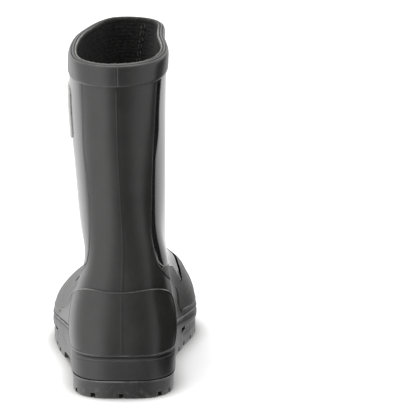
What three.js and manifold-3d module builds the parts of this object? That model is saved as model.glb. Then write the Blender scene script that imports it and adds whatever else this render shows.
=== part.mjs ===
// Children's rubber rain boot, left foot, in millimetres: +Z up, toe towards -Y, lateral side +X.
// The boot stands on its tread at z = 0, with the origin in the middle of its footprint box.
// Every wall layer follows one smooth last surface (u, v): u runs once round the boot
// (0 = middle of the heel, 0.25 = lateral side, 0.5 = toe and shin, 0.75 = medial side),
// v runs from the hidden lower edge of the upper (0) to the rim of the shaft (1).
// Wall offsets are distances out from the last surface; negative ones lie inside it.
import * as THREE from 'three';
import { mergeVertices } from 'three/addons/utils/BufferGeometryUtils.js';
import Module from 'manifold-3d';

const wasm = await Module();
wasm.setup();

// ---- driving dimensions ----
const SHELL_T = 1.8;          // rubber shell wall
const GAP = 0.35;             // glue-line / clearance gap between neighbouring layers
const PANEL_T = 0.8;          // thin overlay panels
const COUNTER_T = 1.1;        // heel counter overlay
const BADGE_T = 1.0;
const COLLAR_T = 1.8;         // collar band
const COLLAR_RIM_T = 1.0;     // collar band at the rim
const LINING_T = 1.0;         // knitted lining
const SEAM_T = 0.5;           // seam on the lining
const STIFF_T = 0.9;          // hidden heel and toe stiffeners
const COLLAR_V = 0.925;       // lower edge of the collar
const FEATHER_V = 0.0696;     // feather line
const HEEL_SOLE_TOP = 11.4;   // top of the outsole at the heel
const FORE_SOLE_TOP = 11.0;   // top of the outsole at the ball
const LUG_H = 3.0;            // tread depth
const FLOOR_GAP = 0.8;        // clearance above and below the lining's floor
const FOOTBED_T = 3.2;        // loose footbed foam
const COVER_T = 0.8;          // its textile cover
const COVER_GAP = 0.3;        // between foam and cover
const LAST_TO_PART = [-2.227, 101.3865, 0];   // shift from the last's frame to the boot's

// Wall offsets of the layers
const STIFF_OUTER = -SHELL_T - GAP;
const OVERLAY_INNER = GAP;
const OVERLAY_OUTER = GAP + PANEL_T;
const SECOND_INNER = OVERLAY_OUTER + GAP;     // parts laid on top of an overlay panel

// Wall grid: stations round the boot, and the v of its rows
const STATIONS = 32;
const ROW_V = [
  0, 0.035, 0.075, 0.125, 0.18, 0.235, 0.285, 0.34, 0.40, 0.47, 0.55, 0.65, 0.76, 0.86,
  COLLAR_V, 0.963, 1.0,
];
const TOP_ROW = ROW_V.length - 1;

// ---- last surface ----
// Nominal lengths of u = 0..1 and v = 0..1 on the wall
const NOMINAL_GIRTH = 400;
const NOMINAL_HEIGHT = 194;

// u of the measured points: heel to toe on the lateral side, then back on the medial side
const HALF_ROUND = [0, 0.075, 0.145, 0.245, 0.375, 0.515, 0.66, 0.79, 0.90, 1.0];
const POINT_U = [
  ...HALF_ROUND.map(h => h / 2),
  ...HALF_ROUND.slice(1, 9).reverse().map(h => 1 - h / 2),
];
const RING_V = [0, 13.5, 25.5, 38.5, 52.5, 67.5, 83, 100, 125, 155, NOMINAL_HEIGHT]
  .map(height => height / NOMINAL_HEIGHT);

// One ring of [x, y, z] per RING_V, one point per POINT_U; the heel line is near y = 0
const LAST_RINGS = [
  [ // hidden lower edge
    [0, -4.5, 13.4], [15.5, -6, 13.4], [25, -14.5, 13.4], [27.8, -34, 13.4],
    [30, -64, 13], [37.2, -98, 12.6], [43.4, -132, 12.3], [40.5, -162, 12.3],
    [25.3, -188.5, 13.2], [-3, -199, 13.9], [-28, -189.5, 13.2], [-38.8, -165, 12.3],
    [-38.5, -136, 12.3], [-28.3, -98, 12.6], [-25.8, -64, 13], [-27.6, -34, 13.4],
    [-25, -14.5, 13.4], [-15.5, -6, 13.4],
  ],
  [ // feather line
    [0, -2, 26.9], [16.5, -3.6, 26.9], [26.8, -13, 26.9], [30.2, -34, 26.4],
    [32.5, -64, 24.9], [39.6, -98, 21.4], [46.6, -132, 18.4], [43, -163, 17.9],
    [26.8, -191, 18.9], [-3, -202, 19.9], [-29.4, -192, 18.9], [-41.2, -166, 17.9],
    [-40.8, -136, 18.4], [-30.6, -98, 21.4], [-28.3, -64, 24.9], [-30, -34, 26.4],
    [-26.8, -13, 26.9], [-16.5, -3.6, 26.9],
  ],
  [ // side wall
    [0, -1.7, 38.9], [16.8, -3.3, 38.9], [27.3, -12.8, 38.9], [30.9, -34, 38.4],
    [31.8, -64, 36.4], [37.6, -98, 32.4], [44.4, -132, 28.9], [40.7, -163, 28.4],
    [26.2, -190.5, 29.4], [-3, -202, 30.4], [-28.6, -191.5, 29.6], [-39.8, -166, 28.9],
    [-39.9, -136, 29.2], [-30.2, -98, 32.4], [-29.1, -64, 36.4], [-30.9, -34, 38.4],
    [-27.3, -12.8, 38.9], [-16.8, -3.3, 38.9],
  ],
  [ // upper side wall
    [0, -2.5, 51.9], [16.3, -4.5, 51.9], [26.5, -14, 51.9], [29.4, -34, 50.9],
    [28.9, -62, 47.9], [33, -95, 43.4], [36.9, -129, 38.9], [33.6, -158, 38.4],
    [21.6, -183, 39.4], [-3, -193.5, 40.4], [-24.6, -184.5, 40.4], [-35, -161, 40.4],
    [-37.2, -133, 40.4], [-29.2, -95, 43.9], [-28.1, -62, 47.9], [-30, -34, 50.9],
    [-26.5, -14, 51.9], [-16.3, -4.5, 51.9],
  ],
  [ // counter top / toe box
    [0, -4.8, 65.9], [15.2, -7, 65.9], [24.1, -16.6, 65.9], [26, -35, 64.4],
    [25.3, -60, 60.4], [25.8, -90, 54.9], [27, -121, 49.2], [22.6, -146, 48.9],
    [13, -165, 48.9], [-2, -172.5, 49.4], [-17, -166, 49.9], [-27.5, -150, 51.4],
    [-32.8, -125, 53.9], [-27.4, -90, 56.4], [-26.8, -60, 60.4], [-28.2, -35, 64.4],
    [-25, -16.5, 65.9], [-15.4, -7, 65.9],
  ],
  [ // instep
    [0, -7.6, 80.9], [13.6, -10.1, 80.9], [20.8, -19.4, 80.4], [22.3, -36.5, 78.4],
    [22.8, -58, 73.9], [23.2, -84, 67.4], [20.5, -109, 61.4], [15.3, -128, 59.6],
    [8, -140, 58.9], [-1.5, -144.5, 58.9], [-10.5, -141, 59.2], [-19.3, -130, 62.7],
    [-24.3, -111, 65.4], [-25.3, -84, 68.4], [-25.6, -58, 73.9], [-26.4, -36.5, 78.4],
    [-23.4, -19, 80.4], [-14.3, -10, 80.9],
  ],
  [ // ankle
    [0.5, -9.6, 96.4], [12.3, -12, 96.4], [20, -20.5, 95.4], [23.2, -37, 91.9],
    [24.2, -56, 87.4], [23.6, -77, 81.9], [20.2, -97, 76.9], [15, -111, 73.9],
    [8, -120.5, 72.2], [0, -124, 71.4], [-8, -120.5, 72.6], [-15, -111.5, 75.2],
    [-20.5, -97.5, 78.4], [-24, -77, 82.9], [-24.5, -56, 87.4], [-23.8, -37, 91.9],
    [-20.2, -20.5, 95.4], [-12, -12, 96.4],
  ],
  [ // lower shaft
    [1.5, -10.4, 112.65], [13, -13, 112.21], [20.7, -21, 110.85], [24.9, -37, 108.14],
    [26.3, -56, 104.91], [25, -76, 101.51], [20.6, -94, 98.46], [14.8, -106.5, 96.33],
    [7.8, -113, 95.23], [0.2, -115.5, 94.81], [-7.2, -113, 95.23], [-13.8, -106.5, 96.33],
    [-19.3, -94, 98.46], [-23.3, -76, 101.51], [-24.5, -56, 104.91], [-23, -37, 108.14],
    [-18, -21, 110.85], [-10, -13, 112.21],
  ],
  [ // mid shaft
    [3, -9.2, 138.19], [14, -11.8, 138.02], [22.1, -20, 137.48], [26.9, -36, 136.42],
    [28.5, -55, 135.16], [26.6, -75, 133.84], [21.2, -92, 132.72], [14.8, -103.5, 131.96],
    [7.8, -109.5, 131.57], [0.3, -111.5, 131.43], [-7, -109.5, 131.57], [-13.5, -103, 131.99],
    [-19.5, -91, 132.79], [-23.5, -74, 133.91], [-24.8, -54, 135.23], [-22.5, -35, 136.48],
    [-16.5, -19.5, 137.51], [-8, -11.6, 138.03],
  ],
  [ // upper shaft
    [4, -7.4, 168.44], [14.5, -9.8, 168.51], [23, -18, 168.74], [29, -34, 169.19],
    [31, -53, 169.73], [28.5, -73, 170.3], [22.5, -90, 170.78], [15.5, -102, 171.12],
    [8, -108.5, 171.3], [0, -110.5, 171.36], [-7.5, -108.5, 171.3], [-14.5, -102, 171.12],
    [-20.5, -89, 170.75], [-24, -72, 170.27], [-25, -52, 169.7], [-22.5, -33, 169.16],
    [-16, -17, 168.71], [-6.5, -9.6, 168.5],
  ],
  [ // rim
    [4.5, -5, 204.7], [15.5, -7.5, 204.96], [24.5, -15, 205.73], [29.5, -30, 207.29],
    [30, -50, 209.37], [27.5, -70, 211.44], [22, -87, 213.21], [15.5, -101, 214.66],
    [8, -109, 215.49], [-2, -111, 215.7], [-12.5, -108.5, 215.44], [-21.8, -100, 214.55],
    [-23.8, -85, 213], [-24, -67, 211.13], [-26.3, -46, 208.95], [-24.3, -27, 206.98],
    [-16.8, -13, 205.53], [-6.5, -7, 204.9],
  ],
];

// Gauss-Jordan elimination with row pivoting: returns inverse(left) * right
function solve(left, right) {
  const size = left.length;
  for (let i = 0; i < size; i++) {
    let pivot = i;
    for (let k = i + 1; k < size; k++) {
      if (Math.abs(left[k][i]) > Math.abs(left[pivot][i])) pivot = k;
    }
    [left[i], left[pivot]] = [left[pivot], left[i]];
    [right[i], right[pivot]] = [right[pivot], right[i]];
    for (let k = 0; k < size; k++) {
      const factor = left[k][i] / left[i][i];
      if (k === i || factor === 0) continue;
      for (let j = i; j < size; j++) left[k][j] -= factor * left[i][j];
      for (let j = 0; j < size; j++) right[k][j] -= factor * right[i][j];
    }
  }
  return right.map((row, i) => row.map(x => x / left[i][i]));
}

// A cubic spline through its knots. `bends` turns knot values into second derivatives;
// an open spline has none at its ends.
function makeSpline(knots, periodic) {
  const count = knots.length;
  const zeros = () => Array.from({ length: count }, () => new Array(count).fill(0));
  const left = zeros();
  const right = zeros();
  const span = (from, to) => {
    const length = knots[to] - knots[from];
    return periodic ? (length + 1) % 1 : length;
  };
  for (let i = 0; i < count; i++) {
    if (!periodic && (i === 0 || i === count - 1)) {
      left[i][i] = 1;
      continue;
    }
    const previous = (i + count - 1) % count;
    const next = (i + 1) % count;
    const before = span(previous, i);
    const after = span(i, next);
    left[i][previous] = before;
    left[i][i] = 2 * (before + after);
    left[i][next] = after;
    right[i][previous] = 6 / before;
    right[i][i] = -6 / before - 6 / after;
    right[i][next] = 6 / after;
  }
  return { knots, periodic, bends: solve(left, right) };
}

// How much each knot value counts at parameter t
function splineWeights({ knots, periodic, bends }, t) {
  const count = knots.length;
  if (periodic) t = ((t % 1) + 1) % 1;
  let j = 0;
  while (j < count - 1 && t >= knots[j + 1]) j++;
  if (!periodic) j = Math.min(j, count - 2);
  const next = (j + 1) % count;
  const end = next === 0 ? knots[0] + 1 : knots[next];
  const span = end - knots[j];
  const a = (end - t) / span;
  const b = (t - knots[j]) / span;
  const bendA = (a ** 3 - a) * span * span / 6;
  const bendB = (b ** 3 - b) * span * span / 6;
  const weights = new Array(count).fill(0);
  weights[j] += a;
  weights[next] += b;
  return weights.map((w, i) => w + (bendA * bends[j][i] + bendB * bends[next][i]));
}

const splineU = makeSpline(POINT_U, true);
const splineV = makeSpline(RING_V, false);

function lastPoint(u, v) {
  const weightsV = splineWeights(splineV, Math.min(1, Math.max(0, v)));
  const weightsU = splineWeights(splineU, u);
  const point = [0, 0, 0];
  LAST_RINGS.forEach((ring, row) => ring.forEach((measured, column) => {
    const weight = weightsV[row] * weightsU[column];
    for (let axis = 0; axis < 3; axis++) point[axis] += weight * measured[axis];
  }));
  return point;
}

const subtract = (a, b) => [a[0] - b[0], a[1] - b[1], a[2] - b[2]];
const cross = (a, b) => [
  a[1] * b[2] - a[2] * b[1],
  a[2] * b[0] - a[0] * b[2],
  a[0] * b[1] - a[1] * b[0],
];
const unit = a => {
  const length = Math.hypot(...a);
  return a.map(x => x / length);
};

function lastNormal(u, v) {
  const step = 1e-3;
  const along = subtract(lastPoint(u, Math.min(1, v + step)), lastPoint(u, Math.max(0, v - step)));
  const round = subtract(lastPoint(u + step, v), lastPoint(u - step, v));
  return unit(cross(along, round));
}

const wallGrid = ROW_V.map(v => Array.from({ length: STATIONS }, (_, i) => (
  { point: lastPoint(i / STATIONS, v), normal: lastNormal(i / STATIONS, v) }
)));

function wallPoint(row, station, offset) {
  const { point, normal } = wallGrid[row][((station % STATIONS) + STATIONS) % STATIONS];
  return point.map((x, axis) => x + normal[axis] * offset);
}

const wallRing = (row, offsetAt) =>
  Array.from({ length: STATIONS }, (_, i) => wallPoint(row, i, offsetAt(row, i)));

// Point on the flat triangles of the wall grid, at any u, v
function facetPoint(u, v, offset) {
  const station = Math.floor(u * STATIONS);
  let row = 0;
  while (row < TOP_ROW - 1 && v >= ROW_V[row + 1]) row++;
  const clamp = x => Math.min(1, Math.max(0, x));
  const a = clamp(u * STATIONS - station);
  const b = clamp((v - ROW_V[row]) / (ROW_V[row + 1] - ROW_V[row]));
  const lower = wallPoint(row, station, offset);
  const lowerNext = wallPoint(row, station + 1, offset);
  const upper = wallPoint(row + 1, station, offset);
  const upperNext = wallPoint(row + 1, station + 1, offset);
  const mix = (p, q, r, wp, wq, wr) => p.map((x, axis) => x * wp + q[axis] * wq + r[axis] * wr);
  if (a + b <= 1) return mix(lower, lowerNext, upper, 1 - a - b, a, b);
  return mix(lowerNext, upper, upperNext, 1 - b, 1 - a, a + b - 1);
}

// ---- meshes: { positions, triangles } ----
// Two triangles between the pairs a, b and c, d, split along b-c
const quad = (a, b, c, d) => [[a, c, b], [b, c, d]];

// Joins two closed rings of vertices, given the first vertex number of each
function joinRings(a, b, size) {
  const triangles = [];
  for (let i = 0; i < size; i++) {
    const k = (i + 1) % size;
    triangles.push(...quad(a + i, a + k, b + i, b + k));
  }
  return triangles;
}

const edgeKey = (a, b) => (a < b ? `${a}_${b}` : `${b}_${a}`);
const edgesOf = ([a, b, c]) => [[a, b], [b, c], [c, a]];
const flipped = ([a, b, c]) => [a, c, b];

function signedVolume({ positions, triangles }) {
  let volume = 0;
  for (const triangle of triangles) {
    const [p, q, r] = triangle.map(k => positions[k]);
    const normal = cross(q, r);
    volume += (p[0] * normal[0] + p[1] * normal[1] + p[2] * normal[2]) / 6;
  }
  return volume;
}

// Makes neighbouring faces agree, then turns the whole body outwards
function orient(mesh) {
  const { triangles } = mesh;
  const facesAt = new Map();
  triangles.forEach((triangle, face) => {
    for (const [a, b] of edgesOf(triangle)) {
      const key = edgeKey(a, b);
      if (!facesAt.has(key)) facesAt.set(key, []);
      facesAt.get(key).push(face);
    }
  });
  const seen = new Array(triangles.length).fill(false);
  for (let start = 0; start < triangles.length; start++) {
    if (seen[start]) continue;
    seen[start] = true;
    const pending = [start];
    while (pending.length) {
      for (const [a, b] of edgesOf(triangles[pending.pop()])) {
        for (const other of facesAt.get(edgeKey(a, b))) {
          if (seen[other]) continue;
          const sameWay = edgesOf(triangles[other]).some(([p, q]) => p === a && q === b);
          if (sameWay) triangles[other] = flipped(triangles[other]);
          seen[other] = true;
          pending.push(other);
        }
      }
    }
  }
  if (signedVolume(mesh) < 0) mesh.triangles = triangles.map(flipped);
  return mesh;
}

function toGeometry({ positions, triangles }) {
  const geometry = new THREE.BufferGeometry();
  const coordinates = new Float32Array(positions.flat());
  geometry.setAttribute('position', new THREE.BufferAttribute(coordinates, 3));
  geometry.setIndex(triangles.flat());
  return geometry;
}

function geometryToSolid(geometry, tolerance = 1e-4) {
  geometry.deleteAttribute('normal');
  geometry.deleteAttribute('uv');
  const welded = mergeVertices(geometry, tolerance);
  return new wasm.Manifold(new wasm.Mesh({
    numProp: 3,
    vertProperties: new Float32Array(welded.attributes.position.array),
    triVerts: new Uint32Array(welded.index.array),
  }));
}

const meshToSolid = mesh => geometryToSolid(toGeometry(mesh), 1e-5);

function solidToMesh(solid) {
  const { numProp, vertProperties, triVerts } = solid.getMesh();
  const positions = [];
  const triangles = [];
  for (let i = 0; i < vertProperties.length; i += numProp) {
    positions.push([...vertProperties.slice(i, i + 3)]);
  }
  for (let i = 0; i < triVerts.length; i += 3) triangles.push([...triVerts.slice(i, i + 3)]);
  return { positions, triangles };
}

// Upright solid on a plan outline
function prism(points, bottom, top) {
  const shape = new THREE.Shape(points.map(([x, y]) => new THREE.Vector2(x, y)));
  const geometry = new THREE.ExtrudeGeometry(shape, { depth: top - bottom, bevelEnabled: false });
  geometry.translate(0, 0, bottom);
  return geometryToSolid(geometry);
}

// Two skins of wall rings, joined by a rim at each of the given rows
function doubleWall(inner, outer, rimRows) {
  const count = inner.length;
  const triangles = [];
  const join = (a, b) => triangles.push(...joinRings(a * STATIONS, b * STATIONS, STATIONS));
  for (const first of [0, count]) {
    for (let row = first; row < first + count - 1; row++) join(row, row + 1);
  }
  for (const row of rimRows) join(row, count + row);
  return { positions: [...inner, ...outer].flat(), triangles };
}

// A wall layer all the way round, from a row up to the rim
function band(firstRow, outerAt, innerOffset) {
  const rows = ROW_V.map((_, row) => row).slice(firstRow);
  const inner = rows.map(row => wallRing(row, () => innerOffset));
  const outer = rows.map(row => wallRing(row, outerAt));
  return orient(doubleWall(inner, outer, [0, rows.length - 1]));
}

// ---- overlay panels ----
// A panel is cut from a flat plate in (u, v), then laid on the wall facet by facet,
// so it stays parallel to the wall beneath it.
const PLATE_SCALE = 100;      // plate units per unit of u or v
const PLATE_H = 40;
const PLATE_WAVE = 2.5;
const CUTTER_Z = [-25, 65];   // reaches past both faces of the plate

function plate(firstStation, lastStation) {
  const positions = [];
  const triangles = [];
  const count = lastStation - firstStation + 1;
  const rows = ROW_V.length;
  // The grid points are set at uneven heights so that the cut keeps every one of them
  for (const face of [0, 1]) {
    for (let j = 0; j < rows; j++) {
      for (let i = firstStation; i <= lastStation; i++) {
        const z = face * PLATE_H + PLATE_WAVE * Math.sin(i * 2.1 + j * 1.3)
          + PLATE_WAVE * Math.cos(j * 2.9 - i * 0.7);
        positions.push([i / STATIONS * PLATE_SCALE, ROW_V[j] * PLATE_SCALE, z]);
      }
    }
  }
  const id = (face, j, i) => face * rows * count + j * count + i;
  for (const face of [0, 1]) {
    for (let j = 0; j < rows - 1; j++) {
      for (let i = 0; i < count - 1; i++) {
        triangles.push(...quad(
          id(face, j, i), id(face, j, i + 1), id(face, j + 1, i), id(face, j + 1, i + 1),
        ));
      }
    }
  }
  // Edge wall between neighbouring grid points p and q
  const side = (p, q) => {
    const [a, b, c, d] = [id(0, ...p), id(0, ...q), id(1, ...q), id(1, ...p)];
    triangles.push([a, b, c], [a, c, d]);
  };
  for (let i = 0; i < count - 1; i++) {
    for (const j of [0, rows - 1]) side([j, i], [j, i + 1]);
  }
  for (let j = 0; j < rows - 1; j++) {
    for (const i of [0, count - 1]) side([j, i], [j + 1, i]);
  }
  return orient({ positions, triangles });
}

// `outline` is a list of [u, v]; the stations bound the plate it is cut from
function panel(firstStation, lastStation, outline, innerOffset, outerOffset) {
  const cutter = prism(outline.map(([u, v]) => [u * PLATE_SCALE, v * PLATE_SCALE]), ...CUTTER_Z);
  const cut = solidToMesh(meshToSolid(plate(firstStation, lastStation)).intersect(cutter));
  // Keep the cut pattern of the top face only
  const isTop = triangle => {
    const [p, q, r] = triangle.map(k => cut.positions[k]);
    const area2 = Math.abs((q[0] - p[0]) * (r[1] - p[1]) - (q[1] - p[1]) * (r[0] - p[0]));
    return [p, q, r].every(point => point[2] > PLATE_H / 2) && area2 > 1e-6;
  };
  const numbers = new Map();
  const flat = [];
  const renumber = k => {
    if (!numbers.has(k)) {
      numbers.set(k, flat.length);
      flat.push(cut.positions[k]);
    }
    return numbers.get(k);
  };
  const top = cut.triangles.filter(isTop).map(triangle => triangle.map(renumber));
  const count = flat.length;
  // Edges met once are the border; they get a wall between the two faces
  const border = new Map();
  for (const [a, b] of top.flatMap(edgesOf)) {
    const key = edgeKey(a, b);
    border.set(key, border.has(key) ? null : [a, b]);
  }
  const triangles = [...top, ...top.map(t => flipped(t).map(k => k + count))];
  for (const edge of border.values()) {
    if (!edge) continue;
    const [a, b] = edge;
    triangles.push(...quad(a, b, a + count, b + count));
  }
  const lay = offset => flat.map(([x, y]) => facetPoint(x / PLATE_SCALE, y / PLATE_SCALE, offset));
  return orient({ positions: [...lay(outerOffset), ...lay(innerOffset)], triangles });
}

// ---- sole shapes; distances run from the heel line y = 0 towards the toe ----
// Height as a function of distance, eased between the given stations
const profile = (distances, heights) => distance => {
  if (distance <= distances[0]) return heights[0];
  for (let i = 1; i < distances.length; i++) {
    if (distance > distances[i]) continue;
    const t = (distance - distances[i - 1]) / (distances[i] - distances[i - 1]);
    const eased = t * t * (3 - 2 * t);
    return heights[i - 1] + (heights[i] - heights[i - 1]) * eased;
  }
  return heights[heights.length - 1];
};
const soleTop = profile([50, 110, 165, 203], [HEEL_SOLE_TOP, FORE_SOLE_TOP, FORE_SOLE_TOP, 12.4]);
const soleBase = profile([56, 68, 82, 92, 168, 203], [LUG_H, 6.0, 5.2, LUG_H, LUG_H, 6.4]);
const floorZ = profile([45, 115, 160, 203], [17.4, 15.0, 15.0, 16.8]);
const footbedBase = d => floorZ(d) + LINING_T + FLOOR_GAP;

// The last's ring at v, grown sideways in plan
function planOutline(v, grow, count) {
  const step = 2e-3;
  return Array.from({ length: count }, (_, i) => {
    const u = i / count;
    const [x, y, z] = lastPoint(u, v);
    const before = lastPoint(u - step, v);
    const after = lastPoint(u + step, v);
    const tangent = unit([after[0] - before[0], after[1] - before[1], 0]);
    return [x - tangent[1] * grow, y + tangent[0] * grow, z];
  });
}

// A sole-shaped slab: strips from side to side at fixed distances from the heel line, so
// that every layer of the sole bends along the same lines. Levels are [grow, height at d].
const STRIPS = [3, 9, 18, 30, 44, 58, 72, 86, 100, 113, 126, 139, 151, 162, 172, 181, 189];
const END_INSET = 0.25;       // first and last strip line, inside the ends of the outline
const HEEL_SPACE = 1.5;       // least space to the first strip line
const TOE_SPACE = 3;          // least space to the last strip line

function slabRing(v, grow, height) {
  const outline = planOutline(v, grow, 160);
  const distances = outline.map(p => -p[1]);
  const low = Math.min(...distances) + END_INSET;
  const high = Math.max(...distances) - END_INSET;
  const inside = STRIPS.filter(d => d > low + HEEL_SPACE && d < high - TOE_SPACE);
  const lines = [low, ...inside, high];
  // Every ring needs the same number of lines
  while (lines.length < STRIPS.length + 2) {
    lines.splice(lines.length - 1, 0, (lines[lines.length - 2] + high) / 2);
  }
  const crossings = d => {
    const xs = [];
    outline.forEach((p, i) => {
      const q = outline[(i + 1) % outline.length];
      const a = -p[1] - d;
      const b = -q[1] - d;
      if ((a <= 0) !== (b <= 0)) xs.push(p[0] + (q[0] - p[0]) * a / (a - b));
    });
    return xs;
  };
  const side = pick => lines.map(d => [pick(...crossings(d)), -d, height(d)]);
  return [...side(Math.max), ...side(Math.min).reverse()];
}

function slab(v, levels) {
  const rings = levels.map(([grow, height]) => slabRing(v, grow, height));
  const size = rings[0].length;
  const last = (rings.length - 1) * size;
  const triangles = [];
  for (let a = 0; a < last; a += size) triangles.push(...joinRings(a, a + size, size));
  for (const a of [0, last]) {
    for (let i = 0; i < size / 2 - 1; i++) {
      triangles.push(...quad(a + i, a + i + 1, a + size - 1 - i, a + size - 2 - i));
    }
  }
  return orient({ positions: rings.flat(), triangles });
}

// ---- materials ----
const FINISHES = {
  satin: { color: 0x1c1c1d, roughness: 0.48 },
  gloss: { color: 0x0e0e0f, roughness: 0.14 },
  vamp: { color: 0x1e1e1f, roughness: 0.6 },
  sole: { color: 0x1a1a1b, roughness: 0.62 },
  core: { color: 0x2a2a2a, roughness: 0.9 },
  knit: { color: 0x101011, roughness: 0.95 },
  thread: { color: 0x2c2c2e, roughness: 0.8 },
  board: { color: 0x8c8270, roughness: 0.9 },
  foam: { color: 0x3a3a3c, roughness: 0.95 },
  cover: { color: 0x1d1d20, roughness: 0.95 },
  badge: { color: 0xc4c4c2, roughness: 0.35 },
};
const makeMaterial = finish =>
  new THREE.MeshStandardMaterial({ ...FINISHES[finish], metalness: 0 });

// ---- stiffeners, between shell and lining ----
const HEEL_STIFFENER = [
  [-0.125, 0.085], [0.125, 0.085], [0.125, 0.20],
  [0.0825, 0.27], [-0.0825, 0.27], [-0.125, 0.20],
];
const TOE_STIFFENER = [
  [0.385, 0.085], [0.615, 0.085], [0.615, 0.165],
  [0.565, 0.225], [0.435, 0.225], [0.385, 0.165],
];
const stiffener = (firstStation, lastStation, outline) =>
  panel(firstStation, lastStation, outline, STIFF_OUTER - STIFF_T, STIFF_OUTER);

// ---- lining ----
// Zones behind the stiffeners: distance in u from the heel or toe line, and v limits
const STEP_BOTTOM_V = 0.06;
const HEEL_STEP = { reach: 0.16, topV: 0.30 };
const TOE_STEP = { from: 0.34, to: 0.66, topV: 0.25 };
const LINING_ROW = 1;         // lowest wall row of the lining
const FLOOR_INSET = 0.9;      // floor edge, inwards of that row

function liningOuter(row, station) {
  const v = ROW_V[row];
  const u = station / STATIONS;
  const heel = Math.min(u, 1 - u) < HEEL_STEP.reach && v < HEEL_STEP.topV;
  const toe = u > TOE_STEP.from && u < TOE_STEP.to && v < TOE_STEP.topV;
  const stepped = (heel || toe) && v > STEP_BOTTOM_V;
  return STIFF_OUTER - (stepped ? STIFF_T + GAP : 0);
}

// One skin of the sock: floor edge, then the wall rings; depth is measured from the outer skin
function liningSkin(depth, cornerLift) {
  const rings = [wallRing(LINING_ROW, (j, i) => liningOuter(j, i) - depth - FLOOR_INSET)
    .map(([x, y]) => [x, y, floorZ(-y) + depth])];
  for (let row = LINING_ROW; row <= TOP_ROW; row++) {
    rings.push(wallRing(row, (j, i) => liningOuter(j, i) - depth));
  }
  rings[1] = rings[1].map(([x, y, z]) => [x, y, Math.max(z, floorZ(-y) + cornerLift)]);
  return rings;
}

// A knitted sock, stepped inwards where a stiffener lies behind it
function lining() {
  const inner = liningSkin(LINING_T, 2.4);
  const outer = liningSkin(0, 1.6);
  const mesh = doubleWall(inner, outer, [inner.length - 1]);
  for (const first of [0, inner.length * STATIONS]) {
    // Floor as strips between mirrored stations; the end strips are single triangles
    for (let i = 0; i < STATIONS / 2; i++) {
      const corners = [i, i + 1, (STATIONS - i) % STATIONS, STATIONS - i - 1];
      const strip = quad(...corners.map(k => first + k));
      mesh.triangles.push(...strip.filter(triangle => new Set(triangle).size === 3));
    }
  }
  return orient(mesh);
}

// Overlock seam on the inner face of the lining, at the front
function liningSeam() {
  const station = 18;
  const halfWidth = 0.012;
  const [bottom, top] = [0.70, 0.985];
  const left = station / STATIONS - halfWidth;
  const right = station / STATIONS + halfWidth;
  const outline = [[left, bottom], [right, bottom], [right, top], [left, top]];
  const outer = STIFF_OUTER - LINING_T - GAP;
  return panel(station - 1, station + 1, outline, outer - SEAM_T, outer);
}

// ---- outer panel outlines ----
// Panel edges on each side as [distance in u from the heel line, v]; the medial ones are
// turned to their own side of the boot when used.
// Front edge of the back panel, downwards:
const EDGE_MEDIAL = [
  [0.0945, 0.918], [0.0865, 0.76], [0.0787, 0.655], [0.0712, 0.56], [0.0597, 0.45],
  [0.0587, 0.39], [0.0612, 0.352], [0.0712, 0.325], [0.0887, 0.2985], [0.165, 0.266],
  [0.245, 0.231], [0.270, 0.200], [0.2762, 0.160], [0.2755, 0.125], [0.2815, 0.106],
];
const EDGE_LATERAL = [
  [0.0655, 0.918], [0.0678, 0.80], [0.0685, 0.71], [0.0625, 0.635], [0.0592, 0.56],
  [0.0648, 0.458], [0.0675, 0.39], [0.0715, 0.352], [0.084, 0.325], [0.100, 0.303],
  [0.165, 0.262], [0.215, 0.226], [0.2395, 0.195], [0.2392, 0.157], [0.251, 0.127],
  [0.280, 0.1085],
];
// Lower edge of the gloss panel, forwards to its point:
const LOW_MEDIAL = [
  [0.0628, 0.3530], [0.0675, 0.3425], [0.0755, 0.3335], [0.0887, 0.3325], [0.120, 0.331],
  [0.180, 0.315], [0.245, 0.298], [0.2735, 0.2838], [0.2800, 0.264], [0.2885, 0.238],
  [0.2963, 0.211],
];
const LOW_LATERAL = [
  [0.0733, 0.3530], [0.0805, 0.3430], [0.0950, 0.3345], [0.130, 0.330], [0.185, 0.314],
  [0.235, 0.296], [0.253, 0.280], [0.263, 0.262], [0.270, 0.243], [0.276, 0.228],
];
// Its front edge, from the point up to the middle of the front:
const FRONT_MEDIAL = [
  [0.2985, 0.2135], [0.3010, 0.2483], [0.3075, 0.280], [0.3312, 0.306], [0.3420, 0.3235],
  [0.400, 0.388], [0.450, 0.425], [0.5, 0.437],
];
const FRONT_LATERAL = [
  [0.2782, 0.2310], [0.2833, 0.254], [0.2900, 0.281], [0.3140, 0.309], [0.335, 0.326],
  [0.400, 0.388], [0.450, 0.425], [0.5, 0.437],
];
const PANEL_BOTTOM_V = 0.082;

function smooth(points) {
  const knots = points.map(([u, v]) => new THREE.Vector3(u, v, 0));
  const curve = new THREE.CatmullRomCurve3(knots, false, 'centripetal');
  return curve.getPoints((points.length - 1) * 2).map(p => [p.x, p.y]);
}

// An edge moved to the left of its run by about `distance` mm on the wall
const moved = (edge, distance) => edge.map(([u, v], k) => {
  const before = edge[Math.max(0, k - 1)];
  const after = edge[Math.min(edge.length - 1, k + 1)];
  const x = (after[0] - before[0]) * NOMINAL_GIRTH;
  const y = (after[1] - before[1]) * NOMINAL_HEIGHT;
  const length = Math.hypot(x, y);
  return [
    u - y / length * distance / NOMINAL_GIRTH,
    v + x / length * distance / NOMINAL_HEIGHT,
  ];
});

const LATERAL = {
  edge: smooth(EDGE_LATERAL), low: smooth(LOW_LATERAL), front: smooth(FRONT_LATERAL),
  vampStart: 0.092, vampTip: [0.2780, 0.2235],
};
const MEDIAL = {
  edge: smooth(EDGE_MEDIAL), low: smooth(LOW_MEDIAL), front: smooth(FRONT_MEDIAL),
  vampStart: 0.076, vampTip: [0.2985, 0.2065],
};

// Both halves of an outline that meet at the middle of the front
const joinHalves = half => [
  ...half(LATERAL),
  ...half(MEDIAL).map(([u, v]) => [1 - u, v]).reverse().slice(1),
];

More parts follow.
